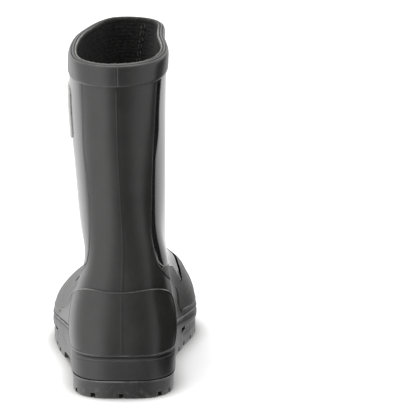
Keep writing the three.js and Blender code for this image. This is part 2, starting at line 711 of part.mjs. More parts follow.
function backPanel() {
  const outline = [
    ...LATERAL.edge, [0.2805, PANEL_BOTTOM_V], [-0.282, PANEL_BOTTOM_V],
    ...MEDIAL.edge.map(([u, v]) => [-u, v]).reverse(),
  ];
  return panel(-10, 10, outline, OVERLAY_INNER, OVERLAY_OUTER);
}

const COUNTER = [
  [-0.078, 0.086], [0.090, 0.086], [0.100, 0.096], [0.103, 0.13], [0.103, 0.19],
  [0.098, 0.228], [0.088, 0.248], [0.075, 0.261], [0.055, 0.274], [0.038, 0.2775],
  [0, 0.272], [-0.041, 0.2785], [-0.0595, 0.272], [-0.0745, 0.260], [-0.0875, 0.240],
  [-0.095, 0.21], [-0.097, 0.17], [-0.095, 0.13], [-0.089, 0.096],
];
const heelCounter = () => panel(-5, 5, COUNTER, SECOND_INNER, SECOND_INNER + COUNTER_T);

// Wraps the front and both sides of the shaft, with a point down each side of the ankle
function glossPanel() {
  const half = ({ edge, low, front }) => [
    ...moved(edge.filter(([, v]) => v > 0.356), 0.45), ...low, ...front,
  ];
  return panel(1, 31, joinHalves(half), OVERLAY_INNER, OVERLAY_OUTER);
}

// Covers the forefoot, runs back in a wedge above the back panel and up the instep
function vampPanel() {
  const half = ({ edge, low, front, vampStart, vampTip }) => {
    const back = moved(edge, 0.4);
    return [
      [back[back.length - 1][0] + 0.0008, PANEL_BOTTOM_V],
      ...back.filter(([u, v]) => v < 0.33 && u > vampStart).reverse(),
      ...moved(low, -0.45).filter(([u]) => u > vampStart + 0.003),
      vampTip,
      ...moved(front, -1.0).slice(1),
    ];
  };
  return panel(2, 30, joinHalves(half), OVERLAY_INNER, OVERLAY_OUTER);
}

function collarBand() {
  const outerAt = row => OVERLAY_INNER + (row === TOP_ROW ? COLLAR_RIM_T : COLLAR_T);
  return band(ROW_V.indexOf(COLLAR_V), outerAt, OVERLAY_INNER);
}

// Blank badge on the upper lateral side
const BADGE = [
  [0.132, 0.735], [0.143, 0.722], [0.225, 0.722], [0.236, 0.735],
  [0.236, 0.862], [0.225, 0.875], [0.143, 0.875], [0.132, 0.862],
];
const badge = () => panel(3, 9, BADGE, SECOND_INNER, SECOND_INNER + BADGE_T);

// ---- sole unit ----
// Side wall band round the lower upper, from the outsole to the feather line
function foxing() {
  const footZ = d => soleTop(d) + 0.5;
  const outer = (grow, height) =>
    planOutline(FEATHER_V, grow, STATIONS).map(([x, y, z]) => [x, y, height(-y, z)]);
  const inner = [2, 1, 0].map(row => wallRing(row, () => OVERLAY_INNER));
  const rings = [
    inner[2].map(([x, y]) => [x, y, footZ(-y)]),
    outer(1.5, footZ),
    outer(1.7, (d, z) => (soleTop(d) + z) / 2),
    outer(1.6, (d, z) => z - 1.2),
    outer(1.0, (d, z) => z + 0.4),
    ...inner,
  ];
  const triangles = rings.flatMap((_, r) =>
    joinRings(r * STATIONS, (r + 1) % rings.length * STATIONS, STATIONS));
  return orient({ positions: rings.flat(), triangles });
}

// Tread rows: [from, to] as distances from the heel line, then the x of the groove centres
// between the row's outer limits
const GROOVE = 2.4;
const TREAD = [
  [-2, 13.6, [-40, -22.3, 0.6, 17.6, 40]],
  [16, 28.6, [-40, -14, 15, 40]],
  [31, 43.6, [-40, 0, 40]],
  [46, 58.6, [-40, -14, 15, 40]],
  [89, 100.6, [-50, -18, 20, 60]],
  [103, 114.6, [-50, 0, 60]],
  [117, 128.6, [-60, -26, 0, 26, 60]],
  [131, 142.6, [-60, -16, 16, 60]],
  [145, 156.6, [-60, -26, 0, 26, 60]],
  [159, 171, [-60, -16, 16, 60]],
];

// A plate with lugs
function outsole() {
  const levels = [[-0.8, soleBase], [0.3, d => soleBase(d) + 1.2], [0.6, soleTop]];
  let solid = meshToSolid(slab(FEATHER_V, levels));
  const edge = prism(planOutline(FEATHER_V, -0.3, 48), -1, LUG_H + 4);
  const lugHeight = LUG_H + 1.0;    // runs up into the plate
  for (const [from, to, xs] of TREAD) {
    for (let k = 0; k < xs.length - 1; k++) {
      const x0 = xs[k] + GROOVE / 2;
      const x1 = xs[k + 1] - GROOVE / 2;
      const lug = new THREE.BoxGeometry(x1 - x0, to - from, lugHeight);
      lug.translate((x0 + x1) / 2, -(from + to) / 2, lugHeight / 2);
      solid = solid.add(geometryToSolid(lug).intersect(edge));
    }
  }
  return solid;
}

// Inside the sole cavity: cellular rubber filler, then the lasting board
const CAVITY_GROW = -SHELL_T - 0.9;
const midsoleFiller = () => slab(0, [
  [CAVITY_GROW, d => soleTop(d) + GAP],
  [CAVITY_GROW, d => floorZ(d) - 2.5],
]);
const insoleBoard = () => slab(0, [
  [CAVITY_GROW, d => floorZ(d) - 2.2],
  [CAVITY_GROW, d => floorZ(d) - FLOOR_GAP],
]);

// Loose footbed
const FOOTBED_GROW = -SHELL_T - 3.6;
const footbedFoam = () => slab(0, [
  [FOOTBED_GROW - 0.6, footbedBase],
  [FOOTBED_GROW, d => footbedBase(d) + 1.0],
  [FOOTBED_GROW - 0.2, d => footbedBase(d) + FOOTBED_T],
]);
const footbedCover = () => slab(0, [
  [FOOTBED_GROW - 0.3, d => footbedBase(d) + FOOTBED_T + COVER_GAP],
  [FOOTBED_GROW - 0.6, d => footbedBase(d) + FOOTBED_T + COVER_GAP + COVER_T],
]);

// ---- assembly ----
const group = new THREE.Group();
const lastFrame = new THREE.Group();
lastFrame.position.set(...LAST_TO_PART);
group.add(lastFrame);

// `part` is a mesh or a finished solid
function add(name, part, finish) {
  const solid = part.positions ? meshToSolid(part) : part;
  const geometry = toGeometry(solidToMesh(solid));
  geometry.computeVertexNormals();
  const mesh = new THREE.Mesh(geometry, makeMaterial(finish));
  mesh.name = name;
  lastFrame.add(mesh);
}

add('upper_shell', band(0, () => 0, -SHELL_T), 'satin');
add('heel_stiffener', stiffener(-5, 5, HEEL_STIFFENER), 'core');
add('toe_stiffener', stiffener(11, 21, TOE_STIFFENER), 'core');
add('lining', lining(), 'knit');
add('lining_seam', liningSeam(), 'thread');
add('back_panel', backPanel(), 'satin');
add('heel_counter', heelCounter(), 'satin');
add('gloss_panel', glossPanel(), 'gloss');
add('vamp_panel', vampPanel(), 'vamp');
add('collar_band', collarBand(), 'satin');
add('badge', badge(), 'badge');
add('foxing', foxing(), 'sole');
add('outsole', outsole(), 'sole');
add('midsole_filler', midsoleFiller(), 'core');
add('insole_board', insoleBoard(), 'board');
add('footbed_foam', footbedFoam(), 'foam');
add('footbed_cover', footbedCover(), 'cover');

export default group;
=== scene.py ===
"""Looks of a child's rubber rain boot, fitted over its CAD pieces.

Lengths are millimetres until a mesh is made.  Before SHIFT is added the heel is near y = 0,
the toe points along -Y, the lateral side is +X, and Z is up from the ground.

Every wall layer lies on one smooth surface (the last), addressed by u and v:
u runs once round the boot (0 heel, 0.25 lateral, 0.5 toe and shin, 0.75 medial) and
v from the hidden lower edge (0) to the rim (1).  "run" is the distance forward from y = 0.
"""
import math
import bpy
import bmesh
import numpy as np
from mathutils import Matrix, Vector, kdtree
from mathutils.geometry import delaunay_2d_cdt


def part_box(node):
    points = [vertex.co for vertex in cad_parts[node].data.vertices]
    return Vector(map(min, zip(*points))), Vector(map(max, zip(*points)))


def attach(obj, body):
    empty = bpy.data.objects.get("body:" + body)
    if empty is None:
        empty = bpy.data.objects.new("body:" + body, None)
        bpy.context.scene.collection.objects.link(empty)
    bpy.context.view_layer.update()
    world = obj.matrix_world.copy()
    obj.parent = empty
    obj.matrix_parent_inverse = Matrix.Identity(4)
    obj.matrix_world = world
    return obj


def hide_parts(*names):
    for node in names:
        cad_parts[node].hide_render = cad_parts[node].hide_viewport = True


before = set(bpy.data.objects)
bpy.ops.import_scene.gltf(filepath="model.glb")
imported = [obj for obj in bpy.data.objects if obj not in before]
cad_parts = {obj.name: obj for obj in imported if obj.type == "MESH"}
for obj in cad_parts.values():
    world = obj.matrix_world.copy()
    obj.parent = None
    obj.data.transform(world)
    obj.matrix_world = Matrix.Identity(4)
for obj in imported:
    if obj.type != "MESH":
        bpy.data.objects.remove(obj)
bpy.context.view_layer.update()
scene = bpy.context.scene
MM = 0.001

# ------------------------------------------------------------------ the last surface
WALL = 194.0            # nominal wall length from lower edge to rim
GIRTH = 260.0           # nominal length once round
HEEL_GIRTH = 250.0      # length of one unit of u near the middle of the heel
V_MM = 1 / WALL         # one millimetre in v
SOLE_EXTRA = 2.4        # the sole is this much thicker than the tables assume

HALF_STATIONS = [0, .075, .145, .245, .375, .515, .66, .79, .90, 1.0]
U_KNOTS = np.array([x / 2 for x in HALF_STATIONS] + [1 - x / 2 for x in HALF_STATIONS[-2:0:-1]])
V_KNOTS = np.array([0, 13.5, 25.5, 38.5, 52.5, 67.5, 83, 100, 125, 155, 194]) / WALL

# One entry per V knot: lateral points from heel to toe, then the medial points between them.
LAST_RINGS = [
    ([(0,-4.5,11), (15.5,-6,11), (25,-14.5,11), (27.8,-34,11), (30,-64,10.6), (37.2,-98,10.2),
      (43.4,-132,9.9), (40.5,-162,9.9), (25.3,-188.5,10.8), (-3,-199,11.5)],
     [(-15.5,-6,11), (-25,-14.5,11), (-27.6,-34,11), (-25.8,-64,10.6), (-28.3,-98,10.2),
      (-38.5,-136,9.9), (-38.8,-165,9.9), (-28.0,-189.5,10.8)]),
    ([(0,-2,24.5), (16.5,-3.6,24.5), (26.8,-13,24.5), (30.2,-34,24), (32.5,-64,22.5),
      (39.6,-98,19), (46.6,-132,16), (43.0,-163,15.5), (26.8,-191,16.5), (-3,-202,17.5)],
     [(-16.5,-3.6,24.5), (-26.8,-13,24.5), (-30,-34,24), (-28.3,-64,22.5), (-30.6,-98,19),
      (-40.8,-136,16), (-41.2,-166,15.5), (-29.4,-192,16.5)]),
    ([(0,-1.7,36.5), (16.8,-3.3,36.5), (27.3,-12.8,36.5), (30.9,-34,36), (31.8,-64,34),
      (37.6,-98,30), (44.4,-132,26.5), (40.7,-163,26), (26.2,-190.5,27), (-3,-202,28)],
     [(-16.8,-3.3,36.5), (-27.3,-12.8,36.5), (-30.9,-34,36), (-29.1,-64,34), (-30.2,-98,30),
      (-39.9,-136,26.8), (-39.8,-166,26.5), (-28.6,-191.5,27.2)]),
    ([(0,-2.5,49.5), (16.3,-4.5,49.5), (26.5,-14,49.5), (29.4,-34,48.5), (28.9,-62,45.5),
      (33.0,-95,41), (36.9,-129,36.5), (33.6,-158,36), (21.6,-183,37), (-3,-193.5,38)],
     [(-16.3,-4.5,49.5), (-26.5,-14,49.5), (-30.0,-34,48.5), (-28.1,-62,45.5), (-29.2,-95,41.5),
      (-37.2,-133,38), (-35.0,-161,38), (-24.6,-184.5,38)]),
    ([(0,-4.8,63.5), (15.2,-7,63.5), (24.1,-16.6,63.5), (26.0,-35,62), (25.3,-60,58),
      (25.8,-90,52.5), (27.0,-121,46.8), (22.6,-146,46.5), (13,-165,46.5), (-2,-172.5,47)],
     [(-15.4,-7,63.5), (-25,-16.5,63.5), (-28.2,-35,62), (-26.8,-60,58), (-27.4,-90,54),
      (-32.8,-125,51.5), (-27.5,-150,49), (-17.0,-166,47.5)]),
    ([(0,-7.6,78.5), (13.6,-10.1,78.5), (20.8,-19.4,78), (22.3,-36.5,76), (22.8,-58,71.5),
      (23.2,-84,65), (20.5,-109,59), (15.3,-128,57.2), (8,-140,56.5), (-1.5,-144.5,56.5)],
     [(-14.3,-10,78.5), (-23.4,-19,78), (-26.4,-36.5,76), (-25.6,-58,71.5), (-25.3,-84,66),
      (-24.3,-111,63), (-19.3,-130,60.3), (-10.5,-141,56.8)]),
    ([(0.5,-9.6,94), (12.3,-12,94), (20.0,-20.5,93), (23.2,-37,89.5), (24.2,-56,85),
      (23.6,-77,79.5), (20.2,-97,74.5), (15,-111,71.5), (8,-120.5,69.8), (0,-124,69)],
     [(-12,-12,94), (-20.2,-20.5,93), (-23.8,-37,89.5), (-24.5,-56,85), (-24,-77,80.5),
      (-20.5,-97.5,76), (-15,-111.5,72.8), (-8,-120.5,70.2)]),
]
# Rings of the shaft lie in tilted planes: height at the heel, height at the shin,
# then (x, y) points in the same order.
SHAFT_RINGS = [
    (111, 93,
     [(1.5,-10.4), (13,-13), (20.7,-21), (24.9,-37), (26.3,-56), (25.0,-76), (20.6,-94),
      (14.8,-106.5), (7.8,-113), (0.2,-115.5)],
     [(-10,-13), (-18,-21), (-23,-37), (-24.5,-56), (-23.3,-76), (-19.3,-94), (-13.8,-106.5),
      (-7.2,-113)]),
    (136, 129,
     [(3,-9.2), (14,-11.8), (22.1,-20), (26.9,-36), (28.5,-55), (26.6,-75), (21.2,-92),
      (14.8,-103.5), (7.8,-109.5), (0.3,-111.5)],
     [(-8,-11.6), (-16.5,-19.5), (-22.5,-35), (-24.8,-54), (-23.5,-74), (-19.5,-91),
      (-13.5,-103), (-7,-109.5)]),
    (166, 169,
     [(4,-7.4), (14.5,-9.8), (23,-18), (29,-34), (31,-53), (28.5,-73), (22.5,-90),
      (15.5,-102), (8,-108.5), (0,-110.5)],
     [(-6.5,-9.6), (-16,-17), (-22.5,-33), (-25,-52), (-24,-72), (-20.5,-89), (-14.5,-102),
      (-7.5,-108.5)]),
    (202.4, 213.4,
     [(4.5,-5), (15.5,-7.5), (24.5,-15), (29.5,-30), (30,-50), (27.5,-70), (22,-87),
      (15.5,-101), (8,-109), (-2,-111)],
     [(-6.5,-7), (-16.8,-13), (-24.3,-27), (-26.3,-46), (-24.0,-67), (-23.8,-85),
      (-21.8,-100), (-12.5,-108.5)]),
]


def tilted(points, z_heel, z_shin):
    return [(x, y, z_heel + (z_shin - z_heel) * (-y - 6) / 106.0) for x, y in points]


for z_heel, z_shin, lateral, medial in SHAFT_RINGS:
    LAST_RINGS.append((tilted(lateral, z_heel, z_shin), tilted(medial, z_heel, z_shin)))
GRID = np.array([lateral + medial[::-1] for lateral, medial in LAST_RINGS], float)
GRID[:, :, 2] += SOLE_EXTRA


def spline(knots, closed):
    """Matrix from knot values to second derivatives of a cubic spline, and the knot spans."""
    count = len(knots)
    spans = np.diff(knots)
    if closed:
        spans = np.append(spans, 1 - knots[-1] + knots[0])
    left = np.zeros((count, count))
    right = np.zeros((count, count))
    if not closed:
        left[0, 0] = 1
        left[-1, -1] = 1
    for i in range(count) if closed else range(1, count - 1):
        before, after = spans[i - 1], spans[i]
        left[i, (i - 1) % count] += before
        left[i, i] += 2 * (before + after)
        left[i, (i + 1) % count] += after
        right[i, (i - 1) % count] += 6 / before
        right[i, i] += -6 / before - 6 / after
        right[i, (i + 1) % count] += 6 / after
    return np.linalg.solve(left, right), spans


V_SPLINE = spline(V_KNOTS, closed=False)
U_SPLINE = spline(U_KNOTS, closed=True)
U_ENDS = np.append(U_KNOTS, U_KNOTS[0] + 1)


def knot_weights(t, ends, second, spans):
    """Share of every knot value in the spline at t."""
    j = np.clip(np.searchsorted(ends, t, side="right") - 1, 0, len(ends) - 2)
    k = (j + 1) % len(second)
    low = (ends[j + 1] - t) / spans[j]
    high = (t - ends[j]) / spans[j]
    own = np.eye(len(second))
    return (low[:, None] * own[j] + high[:, None] * own[k]
            + ((low**3 - low) * spans[j]**2 / 6)[:, None] * second[j]
            + ((high**3 - high) * spans[j]**2 / 6)[:, None] * second[k])


def surface(u, v):
    """Points of the last."""
    u, v = np.broadcast_arrays(np.atleast_1d(np.asarray(u, float)),
                               np.atleast_1d(np.asarray(v, float)))
    v_weights = knot_weights(np.clip(v, 0, 1), V_KNOTS, *V_SPLINE)
    wrapped = np.mod(u - U_KNOTS[0], 1.0) + U_KNOTS[0]
    u_weights = knot_weights(wrapped, U_ENDS, *U_SPLINE)
    rings = (v_weights @ GRID.reshape(len(V_KNOTS), -1)).reshape(len(u), len(U_KNOTS), 3)
    return np.einsum("nc,ncd->nd", u_weights, rings)


def unit(vectors):
    return vectors / np.maximum(np.linalg.norm(vectors, axis=-1, keepdims=True), 1e-12)


def frames(u, v):
    """Point, outward normal and the derivatives along u and v; v may run past the rim."""
    u, v = np.broadcast_arrays(np.atleast_1d(np.asarray(u, float)),
                               np.atleast_1d(np.asarray(v, float)))
    e = 1e-3
    below = np.clip(v - e, 0, 1 - e)
    above = np.clip(v + e, e, 1)
    along_u = (surface(u + e, v) - surface(u - e, v)) / (2 * e)
    along_v = (surface(u, above) - surface(u, below)) / (above - below)[:, None]
    point = surface(u, v) + (v - np.clip(v, 0, 1))[:, None] * along_v
    return point, unit(np.cross(along_v, along_u)), along_u, along_v


def wall(u, v, offset):
    """Points held off the last along its outward normal."""
    point, normal, _, _ = frames(u, v)
    return point + normal * offset


# The box of the CAD shell, sampled at these stations, places the last in the shared frame.
CAD_SHELL_V = [0, .035, .075, .125, .18, .235, .285, .34, .40, .47, .55, .65, .76, .86, .925,
               .963, 1.0]
shell_points = np.vstack([surface(np.arange(32) / 32, v) for v in CAD_SHELL_V])
box_low, box_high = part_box("upper_shell")
SHIFT = ((np.array(box_low) + np.array(box_high)) / 2 / MM
         - (shell_points.min(0) + shell_points.max(0)) / 2)
SHIFT[2] = 0.0


# ------------------------------------------------------------------ mesh helpers
def fill_uv_map(mesh, uv):
    layer = mesh.uv_layers.new(name="UVMap")
    corners = np.zeros(len(mesh.loops), np.int64)
    mesh.loops.foreach_get("vertex_index", corners)
    corner_uv = uv[corners].astype(float)
    count = len(mesh.polygons)
    sizes = np.zeros(count, np.int64)
    mesh.polygons.foreach_get("loop_total", sizes)
    face = np.repeat(np.arange(count), sizes)
    # a face that crosses u = 0 is kept in one piece
    largest = np.full(count, -1e9)
    np.maximum.at(largest, face, corner_uv[:, 0])
    corner_uv[(largest[face] - corner_uv[:, 0]) > 0.5, 0] += 1.0
    layer.data.foreach_set("uv", corner_uv.astype(np.float32).ravel())


def add_mesh(name, points, faces, material, body="boot", replaces=None,
             loop_normals=None, uv=None, sharp=None):
    """Make an object; sharp is the angle in degrees above which edges stay hard."""
    mesh = bpy.data.meshes.new(name)
    mesh.from_pydata(((np.asarray(points) + SHIFT) * MM).tolist(), [],
                     [list(map(int, f)) for f in faces])
    mesh.update()
    if loop_normals is None:
        work = bmesh.new()
        work.from_mesh(mesh)
        bmesh.ops.recalc_face_normals(work, faces=work.faces)
        work.to_mesh(mesh)
        work.free()
    mesh.polygons.foreach_set("use_smooth", np.ones(len(mesh.polygons), bool))
    if uv is not None:
        fill_uv_map(mesh, uv)
    if loop_normals is not None:
        mesh.normals_split_custom_set(loop_normals.tolist())
    elif sharp is not None:
        mesh.set_sharp_from_angle(angle=math.radians(sharp))
    ob = bpy.data.objects.new(name, mesh)
    scene.collection.objects.link(ob)
    mesh.materials.append(material)
    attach(ob, body)
    if replaces:
        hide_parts(replaces)
    return ob


def mark(ob, values, name="painted_highlight"):
    """Store per point how much painted highlight or painted shade it gets, under the given
    name.
    """
    layer = ob.data.attributes.new(name, "FLOAT", "POINT")
    layer.data.foreach_set("value", np.clip(np.asarray(values, float), 0, 1).astype(np.float32))


def ring_faces(rings, count, closed=False):
    """Quads between rings of count points; closed joins the last ring to the first."""
    faces = []
    for r in range(rings if closed else rings - 1):
        a = r * count
        b = ((r + 1) % rings) * count
        for i in range(count):
            k = (i + 1) % count
            faces.append((a + i, a + k, b + k, b + i))
    return faces


def strip_cap(start, count, flip):
    """Close a slim ring with strips across it."""
    faces = []
    for i in range(count // 2):
        a, b, c, d = i, i + 1, (count - i) % count, count - i - 1
        if a == c:
            face = (a, b, d)
        elif b == d:
            face = (a, b, c)
        else:
            face = (a, b, d, c)
        faces.append(tuple(start + x for x in (face[::-1] if flip else face)))
    return faces


def capped_rings(rings, first, last):
    """Rings (ring, point, xyz) joined up, with a fan to a middle point at each end."""
    count, around = rings.shape[:2]
    points = np.vstack([rings.reshape(-1, 3), first, last])
    centre = count * around
    end = (count - 1) * around
    faces = ring_faces(count, around)
    faces += [(centre, (i + 1) % around, i) for i in range(around)]
    faces += [(centre + 1, end + i, end + (i + 1) % around) for i in range(around)]
    return points, faces


def smooth_curve(points, closed=False, steps=12):
    """Centripetal Catmull-Rom curve through (u, v) points."""
    scale = np.array([GIRTH, WALL])
    knots = np.asarray(points, float) * scale
    if closed:
        knots = np.vstack([knots[-1], knots, knots[0], knots[1]])
    else:
        knots = np.vstack([2 * knots[0] - knots[1], knots, 2 * knots[-1] - knots[-2]])

    def between(a, b, at_a, at_b, t):
        return (at_b - t) / (at_b - at_a) * a + (t - at_a) / (at_b - at_a) * b

    curve = []
    for i in range(1, len(knots) - 2):
        p0, p1, p2, p3 = knots[i - 1:i + 3]
        t0 = 0.0
        t1 = t0 + max(np.linalg.norm(p1 - p0), 1e-6)**.5
        t2 = t1 + max(np.linalg.norm(p2 - p1), 1e-6)**.5
        t3 = t2 + max(np.linalg.norm(p3 - p2), 1e-6)**.5
        for t in np.linspace(t1, t2, steps, endpoint=False):
            a1 = between(p0, p1, t0, t1, t)
            a2 = between(p1, p2, t1, t2, t)
            a3 = between(p2, p3, t2, t3, t)
            curve.append(between(between(a1, a2, t0, t2, t), between(a2, a3, t1, t3, t),
                                 t1, t2, t))
    if not closed:
        curve.append(knots[-2])
    return np.array(curve) / scale


def arc_length(points):
    return np.concatenate([[0], np.cumsum(np.linalg.norm(np.diff(points, axis=0), axis=1))])


def resample(outline, step):
    """Closed (u, v) loop at equal steps along the surface."""
    ring = np.vstack([outline, outline[:1]])
    parts = []
    for a, b in zip(ring[:-1], ring[1:]):
        size = np.hypot((b[0] - a[0]) * GIRTH, (b[1] - a[1]) * WALL)
        pieces = max(1, int(np.ceil(size / 0.4)))
        parts.append(a + (b - a) * (np.arange(pieces) / pieces)[:, None])
    ring = np.vstack(parts + [outline[:1]])
    length = arc_length(surface(*ring.T))
    count = int(round(length[-1] / step))
    t = np.arange(count) / count * length[-1]
    return np.stack([np.interp(t, length, ring[:, 0]), np.interp(t, length, ring[:, 1])], 1)


def inside(polygon, points):
    x, y = points[:, 0], points[:, 1]
    result = np.zeros(len(points), bool)
    for (x0, y0), (x1, y1) in zip(polygon, np.roll(polygon, -1, 0)):
        if y0 == y1:
            continue
        crosses = (y0 > y) != (y1 > y)
        result ^= crosses & (x < (x1 - x0) * (y - y0) / (y1 - y0) + x0)
    return result


def tree_of(points):
    tree = kdtree.KDTree(len(points))
    for i, p in enumerate(points):
        tree.insert(p, i)
    tree.balance()
    return tree


def distances(tree, points):
    return np.array([tree.find(p)[2] for p in points])


def uv_step(direction, along_u, along_v):
    """Change of (u, v) for one millimetre along a direction in the surface."""
    uu = (along_u * along_u).sum(1)
    uv = (along_u * along_v).sum(1)
    vv = (along_v * along_v).sum(1)
    det = uu * vv - uv * uv
    a = (along_u * direction).sum(1)
    b = (along_v * direction).sum(1)
    return np.stack([(vv * a - uv * b) / det, (-uv * a + uu * b) / det], 1)


def triangulate(points, segments, outline, tolerance, min_area, scale=1.0):
    """Triangles inside an outline: points used, corners, and doubled signed areas."""
    flat, _, faces = delaunay_2d_cdt([Vector(p) for p in points * scale], segments, [], 0,
                                     tolerance, False)[:3]
    points = np.array([tuple(p) for p in flat]) / scale
    triangles = np.array([f for f in faces if len(f) == 3])
    triangles = triangles[inside(outline, points[triangles].mean(1))]
    a, b, c = (points[triangles[:, k]] * scale for k in range(3))
    area = ((b[:, 0] - a[:, 0]) * (c[:, 1] - a[:, 1])
            - (b[:, 1] - a[:, 1]) * (c[:, 0] - a[:, 0]))
    keep = np.abs(area) > min_area
    triangles = triangles[keep]
    used = np.unique(triangles)
    renumber = -np.ones(len(points), int)
    renumber[used] = np.arange(len(used))
    return points[used], renumber[triangles], area[keep]


def boundary_edges(triangles):
    edges = {}
    for f in triangles:
        for k in range(3):
            a, b = int(f[k]), int(f[(k + 1) % 3])
            key = (min(a, b), max(a, b))
            edges[key] = None if key in edges else (a, b)
    return [e for e in edges.values() if e]


def vertex_normals(points, triangles):
    a, b, c = (points[triangles[:, k]] for k in range(3))
    face_normals = np.cross(b - a, c - a)
    total = np.zeros_like(points)
    for k in range(3):
        np.add.at(total, triangles[:, k], face_normals)
    return unit(total)


# ------------------------------------------------------------------ profile helpers
def ease(x):
    """Smooth step from 0 to 1."""
    x = np.clip(x, 0, 1)
    return x * x * (3 - 2 * x)


def crest(x, centre, half):
    """Smooth hump of height 1 and the given half-width."""
    t = np.clip(np.abs(x - centre) / half, 0, 1)
    return (1 - t * t)**2


def rounded(dist, low, high, radius):
    """Quarter-round edge: low on the outline, high from radius inwards."""
    t = np.clip(1 - dist / radius, 0, 1)
    return low + (high - low) * np.sqrt(np.maximum(1 - t * t, 0))


def eased_steps(x, stations, values):
    x = np.asarray(x, float)
    result = np.full(x.shape, float(values[0]))
    for i in range(1, len(stations)):
        t = ease((x - stations[i - 1]) / (stations[i] - stations[i - 1]))
        result = result + (values[i] - values[i - 1]) * t
    return result


# ------------------------------------------------------------------ panels on the last
EDGE_RINGS = [0.10, 0.22, 0.36, 0.52, 0.70, 0.90, 1.15, 1.45, 1.85, 2.5]  # mm inside the edge


def panel_points(edge, edge_tree, rings, step, refine):
    """(u, v) points: the edge, rings just inside it, and an inner field of points."""
    point, normal, along_u, along_v = frames(*edge.T)
    tangent = unit(np.roll(point, -1, 0) - np.roll(point, 1, 0))
    inward = uv_step(-unit(np.cross(normal, tangent)), along_u, along_v)
    if inside(edge, edge + 0.3 * inward).mean() < 0.5:
        inward = -inward
    points = [edge]
    for dist in rings:
        ring = edge + dist * inward
        if dist > 1.1:
            ring = ring[::2]
        if dist > 2.2:
            ring = ring[::2]
        far = distances(edge_tree, surface(*ring.T)) > 0.93 * dist
        points.append(ring[far & inside(edge, ring)])
    low, high = edge.min(0), edge.max(0)
    rows = int((high[1] - low[1]) * WALL / (step * 0.866)) + 1
    inner = []
    for r in range(rows + 1):
        v = low[1] + (high[1] - low[1]) * r / rows
        row_u = np.linspace(low[0], high[0], 160)
        length = arc_length(surface(row_u, v))
        u = np.interp(np.arange((r % 2) * step / 2, length[-1], step), length, row_u)
        inner.append(np.stack([u, np.full(len(u), v)], 1))
    inner = np.vstack(inner)
    inner = inner[inside(edge, inner)]
    inner = inner[distances(edge_tree, surface(*inner.T)) > rings[-1] + step * 0.45]
    if refine is not None:
        extra = refine[inside(edge, refine)]
        extra = extra[distances(edge_tree, surface(*extra.T)) > rings[-1] + 0.3]
        extra_tree = tree_of(surface(*extra.T))
        inner = inner[distances(extra_tree, surface(*inner.T)) > step * 0.45]
        inner = np.vstack([inner, extra])
    u_length = np.linalg.norm(frames(*inner.T)[2], axis=1).mean()
    return np.vstack(points + [inner]), np.array([u_length, WALL])


def panel(name, outline, base, height, material, replaces, step=1.9,
          rings=EDGE_RINGS, exact_normals=True, refine=None, painted_highlight=None, dark=None):
    """A closed thin sheet on the last.

    base is the offset of its inner face; height(dist, u, v) that of its outer face at a
    distance from the outline.  refine adds points; the last two give the painted highlight and
    the painted shade, stored as point attributes."""
    outline = np.asarray(outline, float)
    edge = resample(outline, 0.55)
    fine = resample(outline, 0.12)
    area = 0.5 * np.sum(edge[:, 0] * np.roll(edge[:, 1], -1)
                        - np.roll(edge[:, 0], -1) * edge[:, 1])
    if area < 0:
        edge = edge[::-1]
    edge_tree = tree_of(surface(*fine.T))
    points, scale = panel_points(edge, edge_tree, rings, step, refine)
    count = len(edge)
    segments = [(i, (i + 1) % count) for i in range(count)]
    uv, triangles, areas = triangulate(points, segments, edge, 1e-6, 1e-7, scale)
    triangles[areas > 0] = triangles[areas > 0][:, ::-1]

    point, normal, _, _ = frames(*uv.T)
    nearest = [edge_tree.find(p) for p in point]
    dist = np.array([found[2] for found in nearest])
    dist[dist < 0.065] = 0.0
    top = point + normal * height(dist, *uv.T)[:, None]
    shading = vertex_normals(top, triangles)
    if exact_normals:
        # away from the outline the slope comes from the height function
        away = unit(point - np.array([tuple(found[0]) for found in nearest]))
        away = unit(away - (away * normal).sum(1, keepdims=True) * normal)
        e = 0.02
        safe = np.maximum(dist, e)
        slope = (height(safe + e, *uv.T) - height(safe - e, *uv.T)) / (2 * e)
        inner = dist >= 1e-6
        shading[inner] = unit(normal - slope[:, None] * away)[inner]

    count = len(uv)
    side = [(b, a, a + count, b + count) for a, b in boundary_edges(triangles)]
    points = np.vstack([top, point + normal * base])
    faces = [tuple(f) for f in triangles] + [tuple(f[::-1] + count) for f in triangles] + side
    corner = np.array(side)
    side_normals = unit(np.cross(points[corner[:, 1]] - points[corner[:, 0]],
                                 points[corner[:, 3]] - points[corner[:, 0]]))
    loop_normals = np.vstack([shading[triangles].reshape(-1, 3),
                              -normal[triangles[:, ::-1]].reshape(-1, 3),
                              np.repeat(side_normals, 4, 0)])
    ob = add_mesh(name, points, faces, material, replaces=replaces,
                  loop_normals=loop_normals, uv=np.vstack([uv, uv]))
    # painted highlight, on the outer face only
    if painted_highlight is not None:
        mark(ob, np.concatenate([painted_highlight(dist, *uv.T), np.zeros(count)]))
    # painted shade, on both faces
    if dark is not None:
        mark(ob, np.tile(dark(dist, *uv.T), 2), "painted_shade")


